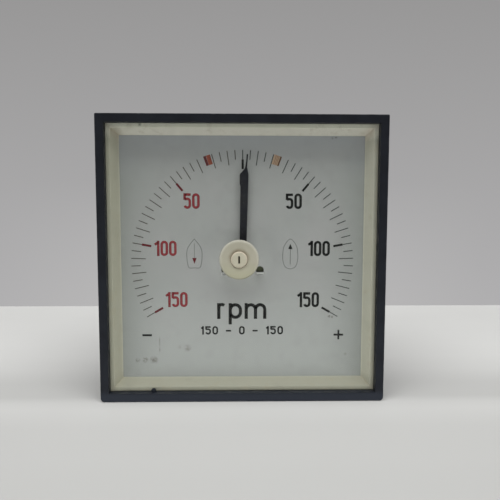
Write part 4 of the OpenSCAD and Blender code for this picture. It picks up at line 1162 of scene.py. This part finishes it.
def pan_head(x, z, seat, head_t, length, angle):
    """A slotted pan head screw: its head stands on the plane at the seat, its slot turned by an angle."""
    shank_r = 1.5
    edge_r = 1.2
    top = seat + head_t
    outline = [(shank_r, seat - length), (shank_r, seat), (HEAD_R, seat)]
    outline += arc((HEAD_R - edge_r, top - edge_r), edge_r, 0, 75, 6) + [(0.6, top)]
    piece = swept_outline("pan_head", outline, sides=48, centre=(x, z))
    nick = bar("nick_cutter", (0.8, 2, 2 * HEAD_R + 2), (0, 0, 0))
    turn(nick, angle, "Y")
    shift(nick, x, top, z)
    cut(piece, nick)
    soften(piece, 0.08, segments=2, angle=32)
    return piece


def make_back_screws():
    """The case's screws near the corners of its back, and the terminal board's two."""
    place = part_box("case_screws")[1].x / MM - HEAD_R
    screws = []
    for side, up, angle in ((-1, -1, 20), (-1, 1, 75), (1, -1, -35), (1, 1, 8)):
        screws.append(pan_head(place * side, place * up, CASE_BACK, 2.3, 9.0, angle))
    finished(joined("case_pan_screws", screws), "screw_steel", stands_for=["case_screws"])
    low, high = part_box("terminal_board_screws")
    place = high.x / MM - HEAD_R
    height = (low.z + high.z) / 2 / MM
    head_t = 2.2
    screws = []
    for side, angle in ((-1, 62), (1, -14)):
        screws.append(pan_head(place * side, height, high.y / MM - head_t, head_t, 8.2, angle))
    finished(joined("board_pan_screws", screws), "screw_steel", stands_for=["terminal_board_screws"])


def make_terminals():
    """The two terminal studs with ridged threads, and the two nuts on each."""
    low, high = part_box("terminal_studs")
    stud_r = 2.0
    reach = high.x / MM - stud_r
    height = (low.z + high.z) / 2 / MM
    front, back = low.y / MM, high.y / MM
    pitch = 0.7
    root_r = stud_r - 0.28
    crest_r = stud_r - 0.05
    thread_from = 63.0
    studs = []
    for side in (-1, 1):
        outline = [(root_r, front), (root_r, thread_from)]
        for ridge in range(int((back - 0.5 - thread_from) / pitch)):
            y = thread_from + ridge * pitch
            outline += [(crest_r, y + 0.3 * pitch), (crest_r, y + 0.45 * pitch), (root_r, y + 0.9 * pitch)]
        outline += [(stud_r - 0.2, back - 0.4), (stud_r - 0.7, back)]
        stud = swept_outline("stud", outline, sides=40, centre=(side * reach, height))
        soften(stud, 0.04, segments=1, angle=25)
        studs.append(stud)
    finished(joined("threaded_studs", studs), "turned_brass", stands_for=["terminal_studs"])
    nut_t = 3.2
    nut_r = 4.04
    chamfer_r = nut_r - 0.42
    nuts = []
    for side in (-1, 1):
        for seat, angle in ((64.0, 0), (68.0, 17 * side)):
            end = seat + nut_t
            outline = [
                (stud_r, seat + 0.1), (stud_r + 0.4, seat), (chamfer_r, seat), (nut_r, seat + 0.3),
                (nut_r, end - 0.3), (chamfer_r, end), (stud_r + 0.4, end), (stud_r, end - 0.3),
            ]
            nut = swept_outline("nut", outline, sides=6, closed=True)
            turn(nut, angle, "Y")
            shift(nut, side * reach, 0, height)
            soften(nut, 0.12, segments=2, angle=20)
            nuts.append(nut)
    finished(joined("hex_nuts", nuts), "turned_brass", stands_for=["terminal_nuts"])


def make_lug_hole_shade_sheets():
    """A dull olive sheet behind the two holes that the dial's lugs are bent from, on the plate: a made-up
    piece put where there is only shade, to give the shade in the holes its olive tone.
    """
    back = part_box("front_plate")[1].y / MM
    thick = 0.15
    shade_sheets = []
    for side in (-1, 1):
        shade_sheet = bar("shade_sheet", (7.4, thick, 6.4), (8.9 * side, back + thick / 2, -5.6))
        round_edges(shade_sheet, 1.0, 4, lambda a, b: abs(a.y - b.y) > 0.1 * MM)
        shade_sheets.append(shade_sheet)
    finished(joined("lug_hole_shade_sheets", shade_sheets), "resistor_card", finish="hole_shade_sheet")


def make_lip_crumb():
    """A crumb of black sealer on the lower inner edge of the bezel."""
    clear_selection()
    bpy.ops.mesh.primitive_ico_sphere_add(subdivisions=3, radius=1 * MM)
    piece = bpy.context.object
    edit(piece)
    bpy.ops.mesh.select_all(action="SELECT")
    bpy.ops.transform.vertex_random(offset=0.12 * MM, seed=4)
    bpy.ops.transform.resize(value=(1.3, 0.9, 1.15))
    leave_editing()
    shift(piece, -45.6, -5.2, -(HALF - BEZEL_BAR - 0.8))
    soften(piece, 0.02, segments=1, angle=60)
    finished(joined("lip_crumb", [piece]), "bezel_black")


def stage_sheet(name, width, depth, finish):
    clear_selection()
    bpy.ops.mesh.primitive_plane_add(size=1)
    sheet = bpy.context.object
    sheet.name = name
    sheet.data.transform(Matrix.Diagonal((width * MM, depth * MM, 1, 1)))
    dress(sheet, finish)
    return sheet


def make_stage():
    """The table, leaning as the instrument does, and the wall behind it."""
    floor = stage_sheet("table", 4000, TABLE_DEPTH, "table_top")
    shift(floor, 0, TABLE_END - TABLE_DEPTH / 2, 0)
    wall = stage_sheet("backdrop", 6000, 4000, "backdrop")
    turn(wall, 90, "X")
    shift(wall, 0, 1100, 200)
    lean = Matrix.Translation((0, 0, bezel_low.z)) @ Matrix.Rotation(LEAN, 4, "X")
    for sheet in (floor, wall):
        sheet.data.transform(lean)


def room_light():
    """Even light, strongest overhead. The room is seen as mid grey, and is mirrored darker in front."""
    world = bpy.data.worlds.new("room")
    bpy.context.scene.world = world
    world.use_nodes = True
    room = Nodes(world.node_tree)
    way = room.add("ShaderNodeSeparateXYZ")
    room.join(room.add("ShaderNodeTexCoord").outputs["Generated"], way.inputs[0])
    x, y, z = way.outputs
    total = room.steps(z, 0.0, 1.0, 0.0, LIGHT_HIGH - LIGHT_LOW)
    total = room.plus(total, room.steps(z, -0.1, 0.0, LIGHT_BELOW, LIGHT_LOW))
    total = room.plus(total, room.steps(room.unsigned(x), 0.2, 1.0, 0.0, LIGHT_SIDE))
    total = room.plus(total, room.steps(y, 0.0, -1.0, 0.0, LIGHT_FRONT))
    light = room.tree.nodes["Background"]
    light.inputs["Color"].default_value = (1, 1, 1, 1)
    room.join(total, light.inputs["Strength"])
    seen = room.add("ShaderNodeBackground")
    seen.inputs["Color"].default_value = paint(168, 167, 166)
    mirrored = room.steps(y, -0.3, 0.3, ROOM_FRONT, 1.0)
    straight = room.add("ShaderNodeLightPath").outputs["Is Camera Ray"]
    room.join(room.larger(straight, mirrored), seen.inputs["Strength"])
    room.shown(room.mixed(room.seen_rays(), light.outputs[0], seen.outputs[0]), "World Output")


def softbox(name, place, size, power):
    """A soft lamp facing the instrument; its place and size are in metres, and its power is in watts."""
    lamp = bpy.data.lights.new(name, "AREA")
    lamp.shape = "RECTANGLE"
    lamp.size, lamp.size_y = size
    lamp.energy = power
    holder = new_object(name, lamp)
    holder.location = place
    holder.rotation_euler = (-Vector(place)).to_track_quat("-Z", "Y").to_euler()
    holder.visible_glossy = False
    holder.visible_camera = False


def make_lights():
    room_light()
    softbox("overhead_softbox", OVERHEAD_PLACE, OVERHEAD_SIZE, OVERHEAD_POWER)
    softbox("front_softbox", FRONT_PLACE, FRONT_SIZE, FRONT_POWER)


def make_camera():
    camera = bpy.data.cameras.new("photo_camera")
    camera.sensor_width = FILM
    camera.lens = LENS
    camera.clip_start = 0.01
    holder = new_object("photo_camera", camera)
    holder.location = [v * MM for v in CAMERA_PLACE]
    holder.rotation_euler = [math.radians(v) for v in CAMERA_TURN]
    bpy.context.scene.camera = holder


bpy.context.scene.view_settings.view_transform = "Standard"
make_camera()
make_finishes()
dress_frame()
make_stage()
make_lights()
make_bezel()
make_mask()
make_hub_cap()
make_button()
make_pointer()
make_case()
make_back_screws()
make_terminals()
make_lug_hole_shade_sheets()
make_lip_crumb()
softened_copy("bezel_screws", "bezel_side_screws", "screw_steel", 0.08)
softened_copy("terminal_board", "terminal_moulding", "black_moulding", 0.35)
softened_copy("terminal_washers", "terminal_rings", "turned_brass", 0.12)
softened_copy("dial_plate", "dial_sheet", "dial_enamel", 0.1)
make_scale()
make_lettering()
make_signs()
make_ships()
make_patches()
